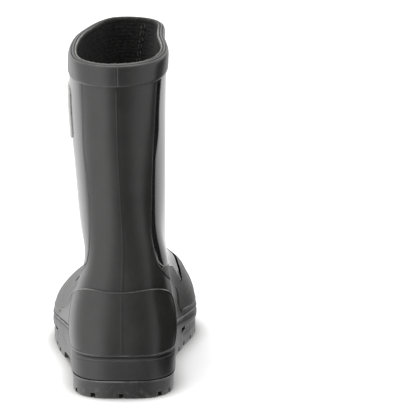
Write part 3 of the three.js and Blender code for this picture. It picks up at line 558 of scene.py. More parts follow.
# ------------------------------------------------------------------ shader helpers
class Nodes:
    """Short ways to add nodes to the tree of a material or world."""

    def __init__(self, owner):
        owner.use_nodes = True
        self.tree = owner.node_tree
        self.tree.nodes.clear()

    def feed(self, node, inputs):
        """Link sockets and set plain values."""
        for key, value in inputs.items():
            if isinstance(value, bpy.types.NodeSocket):
                self.tree.links.new(value, node.inputs[key])
            else:
                node.inputs[key].default_value = value

    def node(self, kind, inputs=None, **settings):
        node = self.tree.nodes.new("ShaderNode" + kind)
        for key, value in settings.items():
            setattr(node, key, value)
        self.feed(node, inputs or {})
        return node

    def math(self, operation, a, b=None, clamp=False):
        inputs = {0: a} if b is None else {0: a, 1: b}
        return self.node("Math", inputs, operation=operation, use_clamp=clamp).outputs[0]

    def add(self, a, b):
        return self.math("ADD", a, b)

    def mul(self, a, b, clamp=False):
        return self.math("MULTIPLY", a, b, clamp)

    def ramp(self, factor, stops):
        """Colour ramp; a stop is (position, grey or RGB)."""
        node = self.node("ValToRGB")
        elements = node.color_ramp.elements
        while len(elements) < len(stops):
            elements.new(0.5)
        for element, (position, tone) in zip(elements, stops):
            element.position = position
            element.color = (*tone, 1) if isinstance(tone, tuple) else (tone, tone, tone, 1)
        self.feed(node, {0: factor})
        return node.outputs[0]

    def noise(self, vector, scale, detail, rough):
        return self.node("TexNoise", {"Vector": vector, "Scale": scale, "Detail": detail,
                                      "Roughness": rough}).outputs["Fac"]

    def mix(self, factor, first, second, kind="RGBA", **settings):
        at, out = {"RGBA": (6, 2), "FLOAT": (2, 0)}[kind]
        return self.node("Mix", {0: factor, at: first, at + 1: second}, data_type=kind,
                         **settings).outputs[out]

    def scaled(self, color, factor):
        return self.node("VectorMath", {0: color, "Scale": factor},
                         operation="SCALE").outputs[0]

    def map_range(self, value, low, high, to_low=0.0, to_high=1.0, **settings):
        return self.node("MapRange", {0: value, "From Min": low, "From Max": high,
                                      "To Min": to_low, "To Max": to_high},
                         **settings).outputs[0]

    def bump(self, height, strength, depth_mm, inputs=None):
        return self.node("Bump", {"Height": height, "Strength": strength,
                                  "Distance": depth_mm * MM, **(inputs or {})}).outputs[0]

    def attribute(self, name):
        return self.node("Attribute", attribute_name=name).outputs["Fac"]

    def separate(self, vector):
        return self.node("SeparateXYZ", {0: vector}).outputs


def new_material(name):
    """Material, its nodes, the Principled node and the texture coordinates."""
    material = bpy.data.materials.new(name)
    nodes = Nodes(material)
    output = nodes.node("OutputMaterial")
    shader = nodes.node("BsdfPrincipled")
    nodes.feed(output, {0: shader.outputs[0]})
    return material, nodes, shader, nodes.node("TexCoord").outputs


# ------------------------------------------------------------------ materials
def rubber(name, tones, roughness, grain, blotch=60.0, specular=0.5, edge_wear=0.0,
           dust=0.0, peel=0.0, seed=0.0, painted_shade=False, highlight_tone=0.15):
    """Moulded or dipped rubber: blotchy tone, uneven sheen, fine grain, pale worn edges,
    painted highlights along raised rims and painted shade in grooves.

    tones are dark and light RGB; grain is strength, size and depth in mm; peel is extra
    depth in mm of the broad unevenness; seed shifts the textures; the last two switch on the
    painted shade and give the grey of the painted highlight."""
    dark, light = tones
    grain_strength, grain_size, grain_depth = grain
    material, nodes, shader, coords = new_material(name)
    place = nodes.node("Mapping", {"Vector": coords["Object"],
                                   "Location": (seed, seed * .7, -seed)}).outputs[0]
    fine = nodes.noise(place, 1000.0 / grain_size, 2, 0.6)
    tone = nodes.add(nodes.mul(nodes.noise(place, blotch, 4, 0.6), 0.75),
                     nodes.mul(fine, 0.25))
    color = nodes.ramp(tone, [(0.30, dark), (0.70, light)])
    if edge_wear > 0:
        points = nodes.node("NewGeometry").outputs["Pointiness"]
        worn = nodes.mul(nodes.ramp(points, [(0.505, 0.0), (0.56, 1.0)]),
                         nodes.mul(nodes.noise(place, 220.0, 3, 0.7), edge_wear), True)
        color = nodes.mix(worn, color, (*(tone * 3.2 for tone in light), 1))
    if dust > 0:
        # grey dust on the lowest 10 mm
        low = nodes.map_range(nodes.separate(coords["Object"])["Z"], 0.010, 0.0)
        patches = nodes.ramp(nodes.noise(place, 300.0, 5, 0.7), [(0.48, 0.0), (0.66, 1.0)])
        dusty = nodes.mul(patches, nodes.mul(low, dust), True)
        color = nodes.mix(dusty, color, (0.16, 0.15, 0.14, 1))
    # painted highlight along raised rims, broken up along their length
    patches = nodes.ramp(nodes.noise(place, 75.0, 5, 0.7), [(0.40, 0.12), (0.58, 1.0)])
    highlight_mask = nodes.mul(nodes.attribute("painted_highlight"), patches, True)
    color = nodes.mix(highlight_mask, color, (highlight_tone, highlight_tone, highlight_tone * 0.985, 1))
    sheen = nodes.add(nodes.mul(nodes.noise(place, blotch * 2.3, 5, 0.65), 0.7),
                      nodes.mul(nodes.noise(place, 900.0, 2, 0.5), 0.3))
    nodes.feed(shader, {"Roughness": nodes.map_range(sheen, 0.3, 0.7, *roughness),
                        "Specular IOR Level": specular, "Coat Roughness": 0.05})
    # painted shade: the point attribute darkens colour and specular
    if painted_shade:
        lit = nodes.math("SUBTRACT", 1.0, nodes.attribute("painted_shade"), True)
        color = nodes.scaled(color, lit)
        nodes.feed(shader, {"Specular IOR Level": nodes.mul(lit, specular)})
    cells = nodes.node("TexVoronoi", {"Vector": place, "Scale": 1000.0 / (grain_size * 1.6)},
                       feature="SMOOTH_F1").outputs["Distance"]
    grain_height = nodes.add(nodes.mul(cells, 0.6), nodes.mul(fine, 0.6))
    grain_normal = nodes.bump(grain_height, grain_strength, grain_depth)
    broad = nodes.noise(place, 180.0 if peel == 0 else 120.0, 2, 0.5)
    nodes.feed(shader, {"Base Color": color,
                        "Normal": nodes.bump(broad, 1.0, 0.02 + peel,
                                             {"Normal": grain_normal})})
    return material


SATIN = rubber("satin_black_rubber", tones=((0.0108, 0.0106, 0.0102), (0.0182, 0.0179, 0.0174)),
               roughness=(0.29, 0.38), grain=(0.30, 0.32, 0.014), edge_wear=0.25, painted_shade=True,
               highlight_tone=0.27)
COLLAR = rubber("collar_black_rubber",
                tones=((0.0132, 0.0129, 0.0126), (0.0220, 0.0216, 0.0212)),
                roughness=(0.29, 0.40), grain=(0.30, 0.34, 0.014), edge_wear=0.35, seed=.3)
GLOSS = rubber("gloss_black_rubber", tones=((0.006, 0.006, 0.0065), (0.010, 0.010, 0.0105)),
               roughness=(0.07, 0.14), grain=(0.05, 0.5, 0.004), specular=0.6, edge_wear=0.1,
               peel=0.010, seed=.5, highlight_tone=0.30)
VAMP = rubber("textured_black_rubber",
              tones=((0.0128, 0.0127, 0.0118), (0.0345, 0.0342, 0.0325)),
              roughness=(0.37, 0.52), grain=(0.9, 0.60, 0.075), blotch=140, edge_wear=0.2,
              seed=.9, painted_shade=True)
SOLE = rubber("sole_black_rubber", tones=((0.0100, 0.0100, 0.0100), (0.0185, 0.0185, 0.0183)),
              roughness=(0.36, 0.50), grain=(0.6, 0.5, 0.035), edge_wear=0.4, dust=0.35,
              seed=1.3, painted_shade=True, highlight_tone=0.25)
BADGE = rubber("badge_grey_rubber", tones=((0.38, 0.38, 0.37), (0.46, 0.46, 0.45)),
               roughness=(0.22, 0.34), grain=(0.2, 0.4, 0.008), seed=1.7)
CORE = rubber("core_grey_rubber", tones=((0.05, 0.05, 0.05), (0.09, 0.09, 0.085)),
              roughness=(0.75, 0.95), grain=(1.0, 0.9, 0.08), seed=2.1)

# painted highlight on the pale rim of the knit, its strength round the boot: (u, share)
RIM_HIGHLIGHT_ROUND = [(0.0, 0.85), (0.24, 1.0), (0.33, 0.55), (0.42, 0.22), (0.60, 0.22), (0.69, 0.75),
              (0.76, 1.0), (0.84, 0.65), (1.0, 0.85)]


def knit(name, tones, columns, rows, depth_mm, fuzz, sheen, pale=0.0):
    """Fine weft knit laid out in (u, v); pale is the tone of its fuzzy cut edge at the rim,
    partly a painted highlight.
    """
    material, nodes, shader, coords = new_material(name)
    uv = nodes.separate(coords["UV"])
    place = coords["Object"]
    slack = nodes.noise(place, 240.0, 3, 0.65)
    across = nodes.add(nodes.mul(uv["X"], 2 * math.pi * columns), nodes.mul(slack, 7.0))
    along = nodes.add(nodes.mul(uv["Y"], 2 * math.pi * rows), nodes.mul(slack, 10.0))
    # loops lean left and right of each column
    half_wave = nodes.math("ABSOLUTE", nodes.math("SINE", nodes.mul(across, 0.5)))
    lean = nodes.mul(half_wave, 2.2)
    column = nodes.math("ABSOLUTE", nodes.math("SINE", across))
    loop = nodes.math("SINE", nodes.add(along, lean))
    height = nodes.add(nodes.mul(column, 0.5), nodes.mul(loop, 0.35))
    height = nodes.add(height, nodes.mul(nodes.noise(place, 2600.0, 3, 0.7), fuzz))
    broad = nodes.noise(place, 130.0, 3, 0.6)
    color = nodes.ramp(nodes.add(nodes.mul(height, 0.5), nodes.mul(broad, 0.5)),
                       [(0.25, tones[0]), (0.85, tones[1])])
    patches = nodes.ramp(nodes.noise(place, 620.0, 5, 0.8), [(0.38, 0.40), (0.62, 1.8)])
    color = nodes.scaled(color, patches)
    # pale fuzzy cut edge at the rim, partly a painted highlight that is stronger or weaker
    # round the rim
    if pale > 0:
        at_edge = nodes.ramp(uv["Y"], [(0.9945, 0.0), (0.9985, 1.0)])
        tufts = nodes.ramp(nodes.noise(place, 700.0, 3, 0.7), [(0.30, 0.35), (0.62, 1.0)])
        rim_fuzz_and_highlight = nodes.mul(at_edge, tufts, True)
        rim_fuzz_and_highlight = nodes.mul(rim_fuzz_and_highlight, nodes.ramp(uv["X"], RIM_HIGHLIGHT_ROUND), True)
        color = nodes.mix(rim_fuzz_and_highlight, color, (pale, pale * .98, pale * .93, 1))
    nodes.feed(shader, {"Base Color": color, "Roughness": 0.95, "Specular IOR Level": 0.15,
                        "Sheen Weight": sheen, "Sheen Roughness": 0.5,
                        "Normal": nodes.bump(height, 0.9, depth_mm)})
    return material


KNIT = knit("black_knit", tones=((0.0015, 0.0015, 0.0015), (0.017, 0.0165, 0.016)),
            columns=130.0, rows=96.0, depth_mm=0.24, fuzz=1.1, sheen=0.05, pale=0.36)
FOOTBED_KNIT = knit("footbed_textile", tones=((0.012, 0.012, 0.013), (0.030, 0.030, 0.032)),
                    columns=1.0, rows=1.0, depth_mm=0.2, fuzz=0.4, sheen=0.25)


def thread_material():
    material, nodes, shader, coords = new_material("seam_thread")
    color = nodes.ramp(nodes.noise(coords["Object"], 1800.0, 3, 0.6),
                       [(0.3, (0.035, 0.035, 0.036)), (0.75, (0.085, 0.085, 0.088))])
    twist = nodes.node("TexWave", {"Vector": coords["Object"], "Scale": 1400.0,
                                   "Distortion": 2.0}, bands_direction="DIAGONAL")
    nodes.feed(shader, {"Base Color": color, "Roughness": 0.7, "Sheen Weight": 0.4,
                        "Normal": nodes.bump(twist.outputs["Fac"], 0.6, 0.05)})
    return material


def board_material():
    material, nodes, shader, coords = new_material("fibre_board")
    place = nodes.node("Mapping", {"Vector": coords["Object"], "Scale": (1, 0.25, 1)})
    fibres = nodes.noise(place.outputs[0], 900.0, 6, 0.7)
    color = nodes.ramp(fibres, [(0.3, (0.16, 0.12, 0.08)), (0.7, (0.34, 0.28, 0.20))])
    nodes.feed(shader, {"Base Color": color, "Roughness": 0.9,
                        "Normal": nodes.bump(fibres, 0.7, 0.1)})
    return material


def foam_material():
    material, nodes, shader, coords = new_material("grey_foam")
    cells = nodes.node("TexVoronoi", {"Vector": coords["Object"],
                                      "Scale": 1400.0}).outputs["Distance"]
    color = nodes.ramp(cells, [(0.1, (0.015, 0.015, 0.016)), (0.6, (0.05, 0.05, 0.053))])
    nodes.feed(shader, {"Base Color": color, "Roughness": 0.95,
                        "Normal": nodes.bump(cells, 0.8, 0.2)})
    return material


THREAD = thread_material()
BOARD = board_material()
FOAM = foam_material()

# ------------------------------------------------------------------ layer offsets from the last
SHELL_THICKNESS = 1.8
BASE = 0.04             # inner face of the panels
PANEL_TOP = 1.15
RAISED_BASE = 1.17      # inner face of pieces that lie on a panel
COUNTER_TOP = 2.6

# ------------------------------------------------------------------ upper shell
SHELL_U = np.arange(300) / 300
SHELL_V = np.unique(np.concatenate([np.linspace(0, 0.12, 14), np.linspace(0.12, 0.99, 92)]))
# (mm above the rim, offset from the last)
SHELL_LIP = [(-0.45, 0.0), (-0.22, -0.06), (-0.10, -0.2), (-0.06, -0.40), (0.04, -0.60),
             (0.18, -0.80), (0.24, -1.00), (0.18, -1.20), (-0.02, -1.36), (-0.4, -1.44),
             (-1.1, -1.52), (-1.9, -1.78)]


def build_upper_shell():
    section = [(v, 0.0) for v in SHELL_V]
    section += [(1 + above * V_MM, offset) for above, offset in SHELL_LIP]
    section += [(v, -SHELL_THICKNESS) for v in SHELL_V[::-3]]
    return add_mesh("upper_shell_skin", np.vstack([wall(SHELL_U, v, o) for v, o in section]),
                    ring_faces(len(section), len(SHELL_U), closed=True), SATIN,
                    replaces="upper_shell", sharp=50)


upper_shell = build_upper_shell()

# ------------------------------------------------------------------ lining
LINING_COUNT = 360
LINING_V = np.concatenate([np.linspace(0.045, 0.30, 18), np.linspace(0.315, 0.70, 30),
                           np.linspace(0.708, 0.9935, 72)])
# frayed top edge: (depth inside the last, mm above the rim, share of fraying, v in the UV map)
LINING_EDGE = [(3.05, -0.75, 0.5, 0.9945), (2.85, -0.20, 1.0, 0.9965), (2.45, 0.12, 1.0, 1.0),
               (2.00, 0.14, 0.8, 0.9972), (1.68, -0.02, 0.5, 0.994), (1.56, -0.40, 0.0, 0.992)]
FLOOR_SHRINK = [0.985, 0.95, 0.85, 0.7, 0.5, 0.3, 0.12]


def stiffener_step(u, v):
    """1 over the heel and toe stiffeners, 0 elsewhere."""
    from_heel = np.minimum(u, 1 - u)
    heel = ease((0.185 - from_heel) / 0.05) * ease((0.335 - v) / 0.06)
    toe = ease((0.19 - np.abs(u - 0.5)) / 0.05) * ease((0.285 - v) / 0.05)
    return np.maximum(heel, toe)


def floor_height(run):
    return np.interp(run, [45, 60, 80, 100, 115, 160, 175, 190, 203],
                     [17.4, 17.12, 16.2, 15.27, 15.0, 15.0, 15.37, 16.3, 16.8])


def lining_floor(ring, lift):
    """Rings that shrink towards the long axis of the foot."""
    axis = np.stack([np.interp(-ring[:, 1], [0, 40, 100, 150, 200], [0.5, 0.5, 2.0, 2.0, -2.0]),
                     np.clip(ring[:, 1], -178, -24), ring[:, 2]], 1)
    rings = []
    for share in FLOOR_SHRINK:
        shrunk = axis + (ring - axis) * share
        shrunk[:, 2] = floor_height(-shrunk[:, 1]) + lift
        rings.append(shrunk)
    return rings


def build_lining():
    """Knitted sock, stepped over the stiffeners."""
    rng = np.random.default_rng(7)
    u = np.arange(LINING_COUNT) / LINING_COUNT
    inner, outer = [], []
    for v in LINING_V:
        point, normal, _, _ = frames(u, v)
        step = stiffener_step(u, v) * 1.25
        # soft unevenness of a textile that is only caught at the rim and under the foot
        wobble = (0.10 * np.sin(u * 2 * math.pi * 9 + v * 21)
                  + 0.08 * np.sin(u * 2 * math.pi * 5 - v * 33))
        fuzz = rng.normal(0, 0.07, LINING_COUNT) if v > 0.70 else np.zeros(LINING_COUNT)
        outer.append(point - normal * (2.15 + step)[:, None])
        depth = (3.15 + step + np.abs(wobble) * (0.3 if v < .9 else 0.15)
                 + np.clip(fuzz, -0.12, 0.12))
        inner.append(point - normal * depth[:, None])
    for ring, lift in ((inner[0], 2.2), (outer[0], 1.4)):
        ring[:, 2] = np.maximum(ring[:, 2], floor_height(-ring[:, 1]) + lift)
    floor_in = lining_floor(inner[0], 1.0)
    floor_out = lining_floor(outer[0], 0.0)
    fray = np.clip(rng.normal(0, 0.13, LINING_COUNT), -0.28, 0.28)
    edge = []
    for depth, above, share, _ in LINING_EDGE:
        point, normal, _, along_v = frames(u, 1.0 + above * V_MM)
        edge.append(point - normal * depth + unit(along_v) * (fray * share)[:, None])
    rings = floor_in[::-1] + inner + edge + outer[::-1] + floor_out
    floor_v = [0.02 * share for share in FLOOR_SHRINK]
    map_v = [*floor_v[::-1], *LINING_V, *(row[3] for row in LINING_EDGE), *LINING_V[::-1],
             *floor_v]
    faces = ring_faces(len(rings), LINING_COUNT) + strip_cap(0, LINING_COUNT, True)
    faces += strip_cap((len(rings) - 1) * LINING_COUNT, LINING_COUNT, False)
    add_mesh("lining_knit", np.vstack(rings), faces, KNIT, replaces="lining",
             uv=np.column_stack([np.tile(u, len(rings)), np.repeat(map_v, LINING_COUNT)]))


build_lining()

# ------------------------------------------------------------------ lining seam
SEAM_U = 0.5580
STITCH_PITCH = 1.9
# closed section of the folded edge: (u from the seam, depth inside the last)
FOLD_SECTION = [(-0.0075, 3.2), (-0.0055, 3.36), (0.0, 3.42), (0.0055, 3.36), (0.0075, 3.2),
                (0.0, 3.16)]


def thread(path, radius=0.17, sides=6):
    """Round thread along a line of points."""
    tangent = unit(np.gradient(path, axis=0))
    across = unit(np.cross(tangent, np.array([0.3, 0.2, 0.93])))
    other = np.cross(tangent, across)
    angle = (np.arange(sides) / sides * 2 * math.pi)[None, :, None]
    rings = path[:, None] + radius * (np.cos(angle) * across[:, None]
                                      + np.sin(angle) * other[:, None])
    return capped_rings(rings, path[0], path[-1])


def build_stitches():
    """Two rows of overlock stitches on the inner face."""
    points, faces, total = [], [], 0
    for i, v in enumerate(np.arange(0.705, 0.985, STITCH_PITCH * V_MM)):
        for side in (-1, 1):
            u_path = SEAM_U + np.linspace(side * 0.0048, side * 0.0078, 6)
            rise = np.linspace(0, 0.85 * V_MM, 6) * (1 if i % 2 else -1)
            point, normal, _, _ = frames(u_path, v + side * 0.3 * V_MM + rise)
            depth = 3.42 + 0.30 * np.sin(np.linspace(0, math.pi, 6))
            part, part_faces = thread(point - normal * depth[:, None])
            points.append(part)
            faces += [tuple(x + total for x in f) for f in part_faces]
            total += len(part)
    add_mesh("lining_seam_stitches", np.vstack(points), faces, THREAD,
             replaces="lining_seam")


def build_seam_fold():
    """The folded edge under the stitches."""
    count, around = 90, len(FOLD_SECTION)
    v = np.linspace(0.70, 0.985, count)
    rings = np.stack([wall(np.full(count, SEAM_U + du), v, -depth)
                      for du, depth in FOLD_SECTION], 1)
    points, faces = capped_rings(rings, rings[0].mean(0), rings[-1].mean(0))
    uv = np.column_stack([[*np.tile(np.linspace(.55, .57, around), count), .56, .56],
                          [*np.repeat(v, around), .7, .98]])
    add_mesh("lining_seam_fold", points, faces, KNIT, uv=uv)


build_stitches()
build_seam_fold()

# ------------------------------------------------------------------ panel outlines, (u, v)
# Medial lines are given with u counted from the heel towards the medial side.
# sides of the back panel, from the collar down to the sole
BACK_MED = [(.0945, .9285), (.0865, .76), (.0787, .655), (.0712, .56), (.0597, .45),
            (.0587, .39), (.0612, .352), (.0712, .325), (.0887, .2985), (.165, .266),
            (.245, .231), (.270, .200), (.2762, .160), (.2755, .125), (.2815, .106)]
BACK_LAT = [(.0655, .9285), (.0678, .80), (.0685, .71), (.0625, .635), (.0592, .56),
            (.0648, .458), (.0675, .39), (.0715, .352), (.084, .325), (.100, .303),
            (.165, .262), (.215, .226), (.2395, .195), (.2392, .157), (.251, .127),
            (.280, .1085)]
# lower edge of the gloss panel, from its rear point forwards
LOW_MED = [(.0620, .3530), (.0675, .3420), (.0755, .3330), (.0887, .3325), (.120, .331),
           (.180, .315), (.245, .298), (.2735, .2838), (.2800, .264), (.2885, .238),
           (.2963, .211)]
LOW_LAT = [(.0725, .3530), (.0805, .3430), (.0950, .3345), (.130, .330), (.185, .314),
           (.235, .296), (.253, .280), (.263, .262), (.270, .243), (.276, .228)]
# front edge of the gloss panel, up to the middle of the instep
FRONT_MED = [(.2985, .2135), (.3010, .2483), (.3075, .280), (.3312, .306), (.3420, .3235),
             (.400, .388), (.450, .425), (.5, .437)]
FRONT_LAT = [(.2782, .2310), (.2833, .254), (.2900, .281), (.3140, .309), (.335, .326),
             (.400, .388), (.450, .425), (.5, .437)]
COUNTER = [(-.080, .0800), (.091, .0800), (.100, .092), (.103, .13), (.103, .19), (.098, .228),
           (.088, .248), (.075, .261), (.055, .274), (.038, .2775), (0, .272), (-.041, .2785),
           (-.0595, .272), (-.0745, .260), (-.0875, .240), (-.095, .21), (-.097, .17),
           (-.095, .13), (-.0895, .092)]
BADGE_OUTLINE = [(.132, .735), (.143, .722), (.225, .722), (.236, .735), (.236, .862),
                 (.225, .875), (.143, .875), (.132, .862)]
PANEL_FOOT_V = 0.0770   # lower edge of the back and vamp panels
PANEL_GAP = 0.09        # between the back panel and its neighbours


def moved(line, dist):
    """A (u, v) line moved sideways on the wall, by one distance or one per point."""
    point, normal, along_u, along_v = frames(*line.T)
    tangent = unit(np.gradient(point, axis=0))
    step = uv_step(unit(np.cross(normal, tangent)), along_u, along_v)
    side = np.sign(-np.gradient(line[:, 1]) * step[:, 0] + np.gradient(line[:, 0]) * step[:, 1])
    side = np.where(side == 0, 1, side)
    return line + step * side[:, None] * np.reshape(dist, (-1, 1))


def join_halves(lateral, medial):
    """Outline across the front: the lateral half, then the medial half back again."""
    return np.vstack([lateral, (medial * [-1, 1] + [1, 0])[::-1][1:]])


back_lat, back_med = smooth_curve(BACK_LAT), smooth_curve(BACK_MED)


# ------------------------------------------------------------------ back panel
def heel_line_u(v):
    return np.interp(v, [0.27, 0.45, 0.92], [0.0, -0.004, -0.0075])


def back_height(dist, u, v):
    # a raised rim, higher low down, with a faint dip inside it
    rim = ((0.10 + 0.26 * ease((0.47 - v) / 0.12)) * ease((v - 0.088) / 0.012)
           * ease((0.922 - v) / 0.004))
    height = rounded(dist, 0.80, PANEL_TOP, 0.30) + rim * crest(dist, 0.50, 0.50)
    height = height - 0.05 * crest(dist, 1.7, 0.6)
    # mould line down the middle of the heel
    x = (u - heel_line_u(v)) * HEEL_GIRTH
    above_counter = ease((v - 0.262) / 0.01)
    line = (0.055 + 0.05 * ease((v - 0.70) / 0.2)) * crest(x, 0.0, 0.5)
    return height + (line - 0.03 * crest(x, -1.0, 0.6)) * above_counter


# painted highlight along the raised rim, stronger low down
def back_highlight(dist, u, v):
    return (crest(dist, 0.36, 0.42) * (0.12 + 0.75 * ease((0.47 - v) / 0.14))
            * ease((v - 0.10) / 0.02))


BACK_LINE_X = (-1.9, -1.3, -0.95, -0.6, -0.36, -0.18, 0, 0.18, 0.36, 0.6, 0.95, 1.5)
panel("back_panel_skin",
      np.vstack([back_lat, [[.2805, PANEL_FOOT_V], [-.282, PANEL_FOOT_V]],
                 (back_med * [-1, 1])[::-1]]),
      BASE, back_height, SATIN, "back_panel", exact_normals=False,
      refine=np.array([(heel_line_u(v) + x / HEEL_GIRTH, v)
                       for v in np.arange(0.10, 0.918, 1.4 * V_MM) for x in BACK_LINE_X]),
      painted_highlight=back_highlight)


# ------------------------------------------------------------------ heel counter
def counter_height(dist, u, v):
    height = rounded(dist, 1.55, COUNTER_TOP, 0.75)
    height = height + 0.30 * crest(dist, 0.66, 0.52) - 0.06 * crest(dist, 1.8, 0.8)
    # the mould line carries on down the middle
    return height + 0.045 * crest(u * HEEL_GIRTH, 0.0, 0.5) * ease((dist - 1.0) / 1.0)


# painted highlight along the rim: strongest at the upper corners, on the medial side and along
# the bottom
def counter_highlight(dist, u, v):
    upper = 0.85 * ease((np.abs(u) - 0.030) / 0.03) * ease((v - 0.24) / 0.02)
    medial = 0.70 * ease((-u - 0.080) / 0.012)
    lower = 0.55 * ease((0.11 - v) / 0.02) * (0.45 + 0.55 * ease((np.abs(u + 0.01) - 0.03)
                                                                / 0.03))
    return crest(dist, 0.50, 0.40) * np.clip(0.10 + upper + medial + lower, 0, 1)


COUNTER_LINE_X = (-1.5, -0.9, -0.6, -0.36, -0.18, 0, 0.18, 0.36, 0.6, 0.9, 1.5)
panel("heel_counter_skin", smooth_curve(COUNTER, closed=True), RAISED_BASE, counter_height,
      SATIN, "heel_counter", exact_normals=False,
      refine=np.array([(x / HEEL_GIRTH, v) for v in np.arange(0.09, 0.268, 1.4 * V_MM)
                       for x in COUNTER_LINE_X]),
      painted_highlight=counter_highlight)


# ------------------------------------------------------------------ gloss panel
def gloss_half(back, low, front):
    """The rear edge hugs the back panel; the lower edge leaves it at the rear point."""
    rear = back[back[:, 1] > 0.3555]
    return np.vstack([moved(rear, PANEL_GAP), smooth_curve(low), smooth_curve(front)])


def front_groove_tree():
    line = np.vstack([smooth_curve(FRONT_MED) * [-1, 1] + [1, 0], smooth_curve(FRONT_LAT)])
    line = line[(line[:, 1] < 0.385) & (line[:, 1] > 0.215)]
    return tree_of(surface(*line.T))


FRONT_TREE = front_groove_tree()


def groove_distance(u, v):
    """Distance from the deep groove in front of the gloss panel."""
    return distances(FRONT_TREE, surface(np.mod(u, 1), v))


def near_groove(u, v, reach):
    """1 along the groove, falling to 0 at reach."""
    return 1 - ease((groove_distance(u, v) - reach + 0.6) / 0.6)


def gloss_height(dist, u, v):
    rim = 0.14 * crest(dist, 0.45, 0.45) * ease((0.40 - v) / 0.03)
    sink = (0.62 * ease((3.2 - groove_distance(u, v)) / 3.0) * ease((0.375 - v) / 0.03)
            * ease((v - 0.222) / 0.02))
    return rounded(dist, 0.82, PANEL_TOP, 0.32) + rim - sink


# painted highlight just inside the edge, on the lower part of the panel
def gloss_highlight(dist, u, v):
    return crest(dist, 0.34, 0.42) * ease((0.40 - v) / 0.06)


panel("gloss_panel_skin",
      join_halves(gloss_half(back_lat, LOW_LAT, FRONT_LAT),
                  gloss_half(back_med, LOW_MED, FRONT_MED)),
      BASE, gloss_height, GLOSS, "gloss_panel", step=1.8, painted_highlight=gloss_highlight)


# ------------------------------------------------------------------ vamp panel
def vamp_half(back, low, front, rear_u, tip):
    """From the sole up behind, forward under the gloss panel, then up its front edge."""
    front = smooth_curve(front)
    rear = moved(back, PANEL_GAP)
    rear = rear[(rear[:, 1] < 0.345) & (rear[:, 0] > rear_u)]
    gap = 0.32 + 1.20 * ease((0.375 - front[:, 1]) / 0.05)
    upper = moved(smooth_curve(low), -0.14)
    upper = upper[upper[:, 0] > rear_u + 0.0022]
    return np.vstack([[[rear[-1, 0] + .0002, PANEL_FOOT_V]], rear[::-1], upper, [tip],
                      moved(front, -gap)[1:]])


def toe_line_v(u):
    """The raised line that runs low round the toe."""
    return np.interp(np.abs(u - 0.5), [0.0, 0.10, 0.18, 0.212], [0.097, 0.0965, 0.096, 0.100])


def vamp_height(dist, u, v):
    height = rounded(dist, 0.90, PANEL_TOP, 0.25)
    height = height + 0.24 * crest(dist, 0.50, 0.80) * near_groove(u, v, 2.6)
    y = (v - toe_line_v(u)) * WALL
    return (height + 0.30 * crest(y, 0.0, 0.65) * ease((dist - 0.5) / 0.8)
            - 0.22 * ease(-y / 0.9) * ease(dist / 0.6))


# painted highlight along the edge and along the raised toe line
def vamp_highlight(dist, u, v):
    line = 0.70 * crest((v - toe_line_v(u)) * WALL, 0.15, 0.50) * ease((dist - 0.4) / 0.6)
    return np.maximum(0.30 * crest(dist, 0.30, 0.40), line)


# painted shade along the edge that meets the groove in front of the gloss panel
def vamp_painted_shade(dist, u, v):
    return near_groove(u, v, 2.4) * (1 - ease((dist - 0.10) / 0.35))


TOE_LINE_Y = (-2.0, -1.3, -0.9, -0.65, -0.45, -0.25, -0.1, 0.05, 0.2, 0.4, 0.65, 1.0, 1.6)
panel("vamp_panel_skin",
      join_halves(vamp_half(back_lat, LOW_LAT, FRONT_LAT, .080, (.2776, .2245)),
                  vamp_half(back_med, LOW_MED, FRONT_MED, .0690, (.2982, .2070))),
      BASE, vamp_height, VAMP, "vamp_panel", exact_normals=False,
      refine=np.array([(u, toe_line_v(u) + y * V_MM) for u in np.arange(0.29, 0.711, 0.0022)
                       for y in TOE_LINE_Y]),
      painted_highlight=vamp_highlight, dark=vamp_painted_shade)


def paint_shell_groove_shade():
    """Painted shade on the shell at the bottom of the groove."""
    u = np.tile(SHELL_U, len(SHELL_V))
    v = np.repeat(SHELL_V, len(SHELL_U))
    chosen = np.flatnonzero((v > 0.2) & (v < 0.40))
    dark = np.zeros(len(upper_shell.data.vertices))
    dark[chosen] = near_groove(u[chosen], v[chosen], 3.4)
    mark(upper_shell, dark, "painted_shade")


paint_shell_groove_shade()

# ------------------------------------------------------------------ collar band
COLLAR_SEAM_U = 0.9925
# closed section: (mm above the rim, offset from the last)
COLLAR_SECTION = [
    (-13.2, .04), (-13.3, 1.20), (-14.45, 1.20), (-14.54, 1.27), (-14.45, 1.46),
    (-14.25, 1.66), (-13.95, 1.86), (-13.5, 2.02), (-13.0, 2.12), (-12.3, 2.19), (-10.5, 2.2),
    (-8.5, 2.2), (-6.5, 2.19), (-4.8, 2.16), (-3.5, 2.08), (-2.5, 1.94), (-1.7, 1.72),
    (-1.1, 1.45), (-.65, 1.15), (-.42, .85), (-.36, .6), (-.45, .38), (-.6, .16), (-.9, .05),
    (-3, .04), (-7, .04), (-11, .04)]


def build_collar():
    near_seam = np.mod(COLLAR_SEAM_U + np.arange(-8, 9) * 0.00085, 1)
    u = np.unique(np.concatenate([np.arange(320) / 320, near_seam]))
    x = (np.mod(u - COLLAR_SEAM_U + 0.5, 1) - 0.5) * HEEL_GIRTH
    seam = 0.07 * crest(x, 0.50, 0.5) - 0.18 * crest(x, -0.30, 0.42)
    rings = [wall(u, 1 + above * V_MM, (offset + (offset > 1.0) * seam)[:, None])
             for above, offset in COLLAR_SECTION]
    collar = add_mesh("collar_band_skin", np.vstack(rings),
                      ring_faces(len(rings), len(u), closed=True), COLLAR,
                      replaces="collar_band", sharp=55)
    # painted highlight along the rolled lower edge of the band and just under the rim
    above, offset = np.array(COLLAR_SECTION).T
    painted_highlight = (0.22 * crest(above, -14.1, 0.6) * (offset > 1.0)
           + 0.30 * crest(above, -0.7, 0.5) * (offset > 0.7))
    mark(collar, np.repeat(painted_highlight, len(u)))


build_collar()


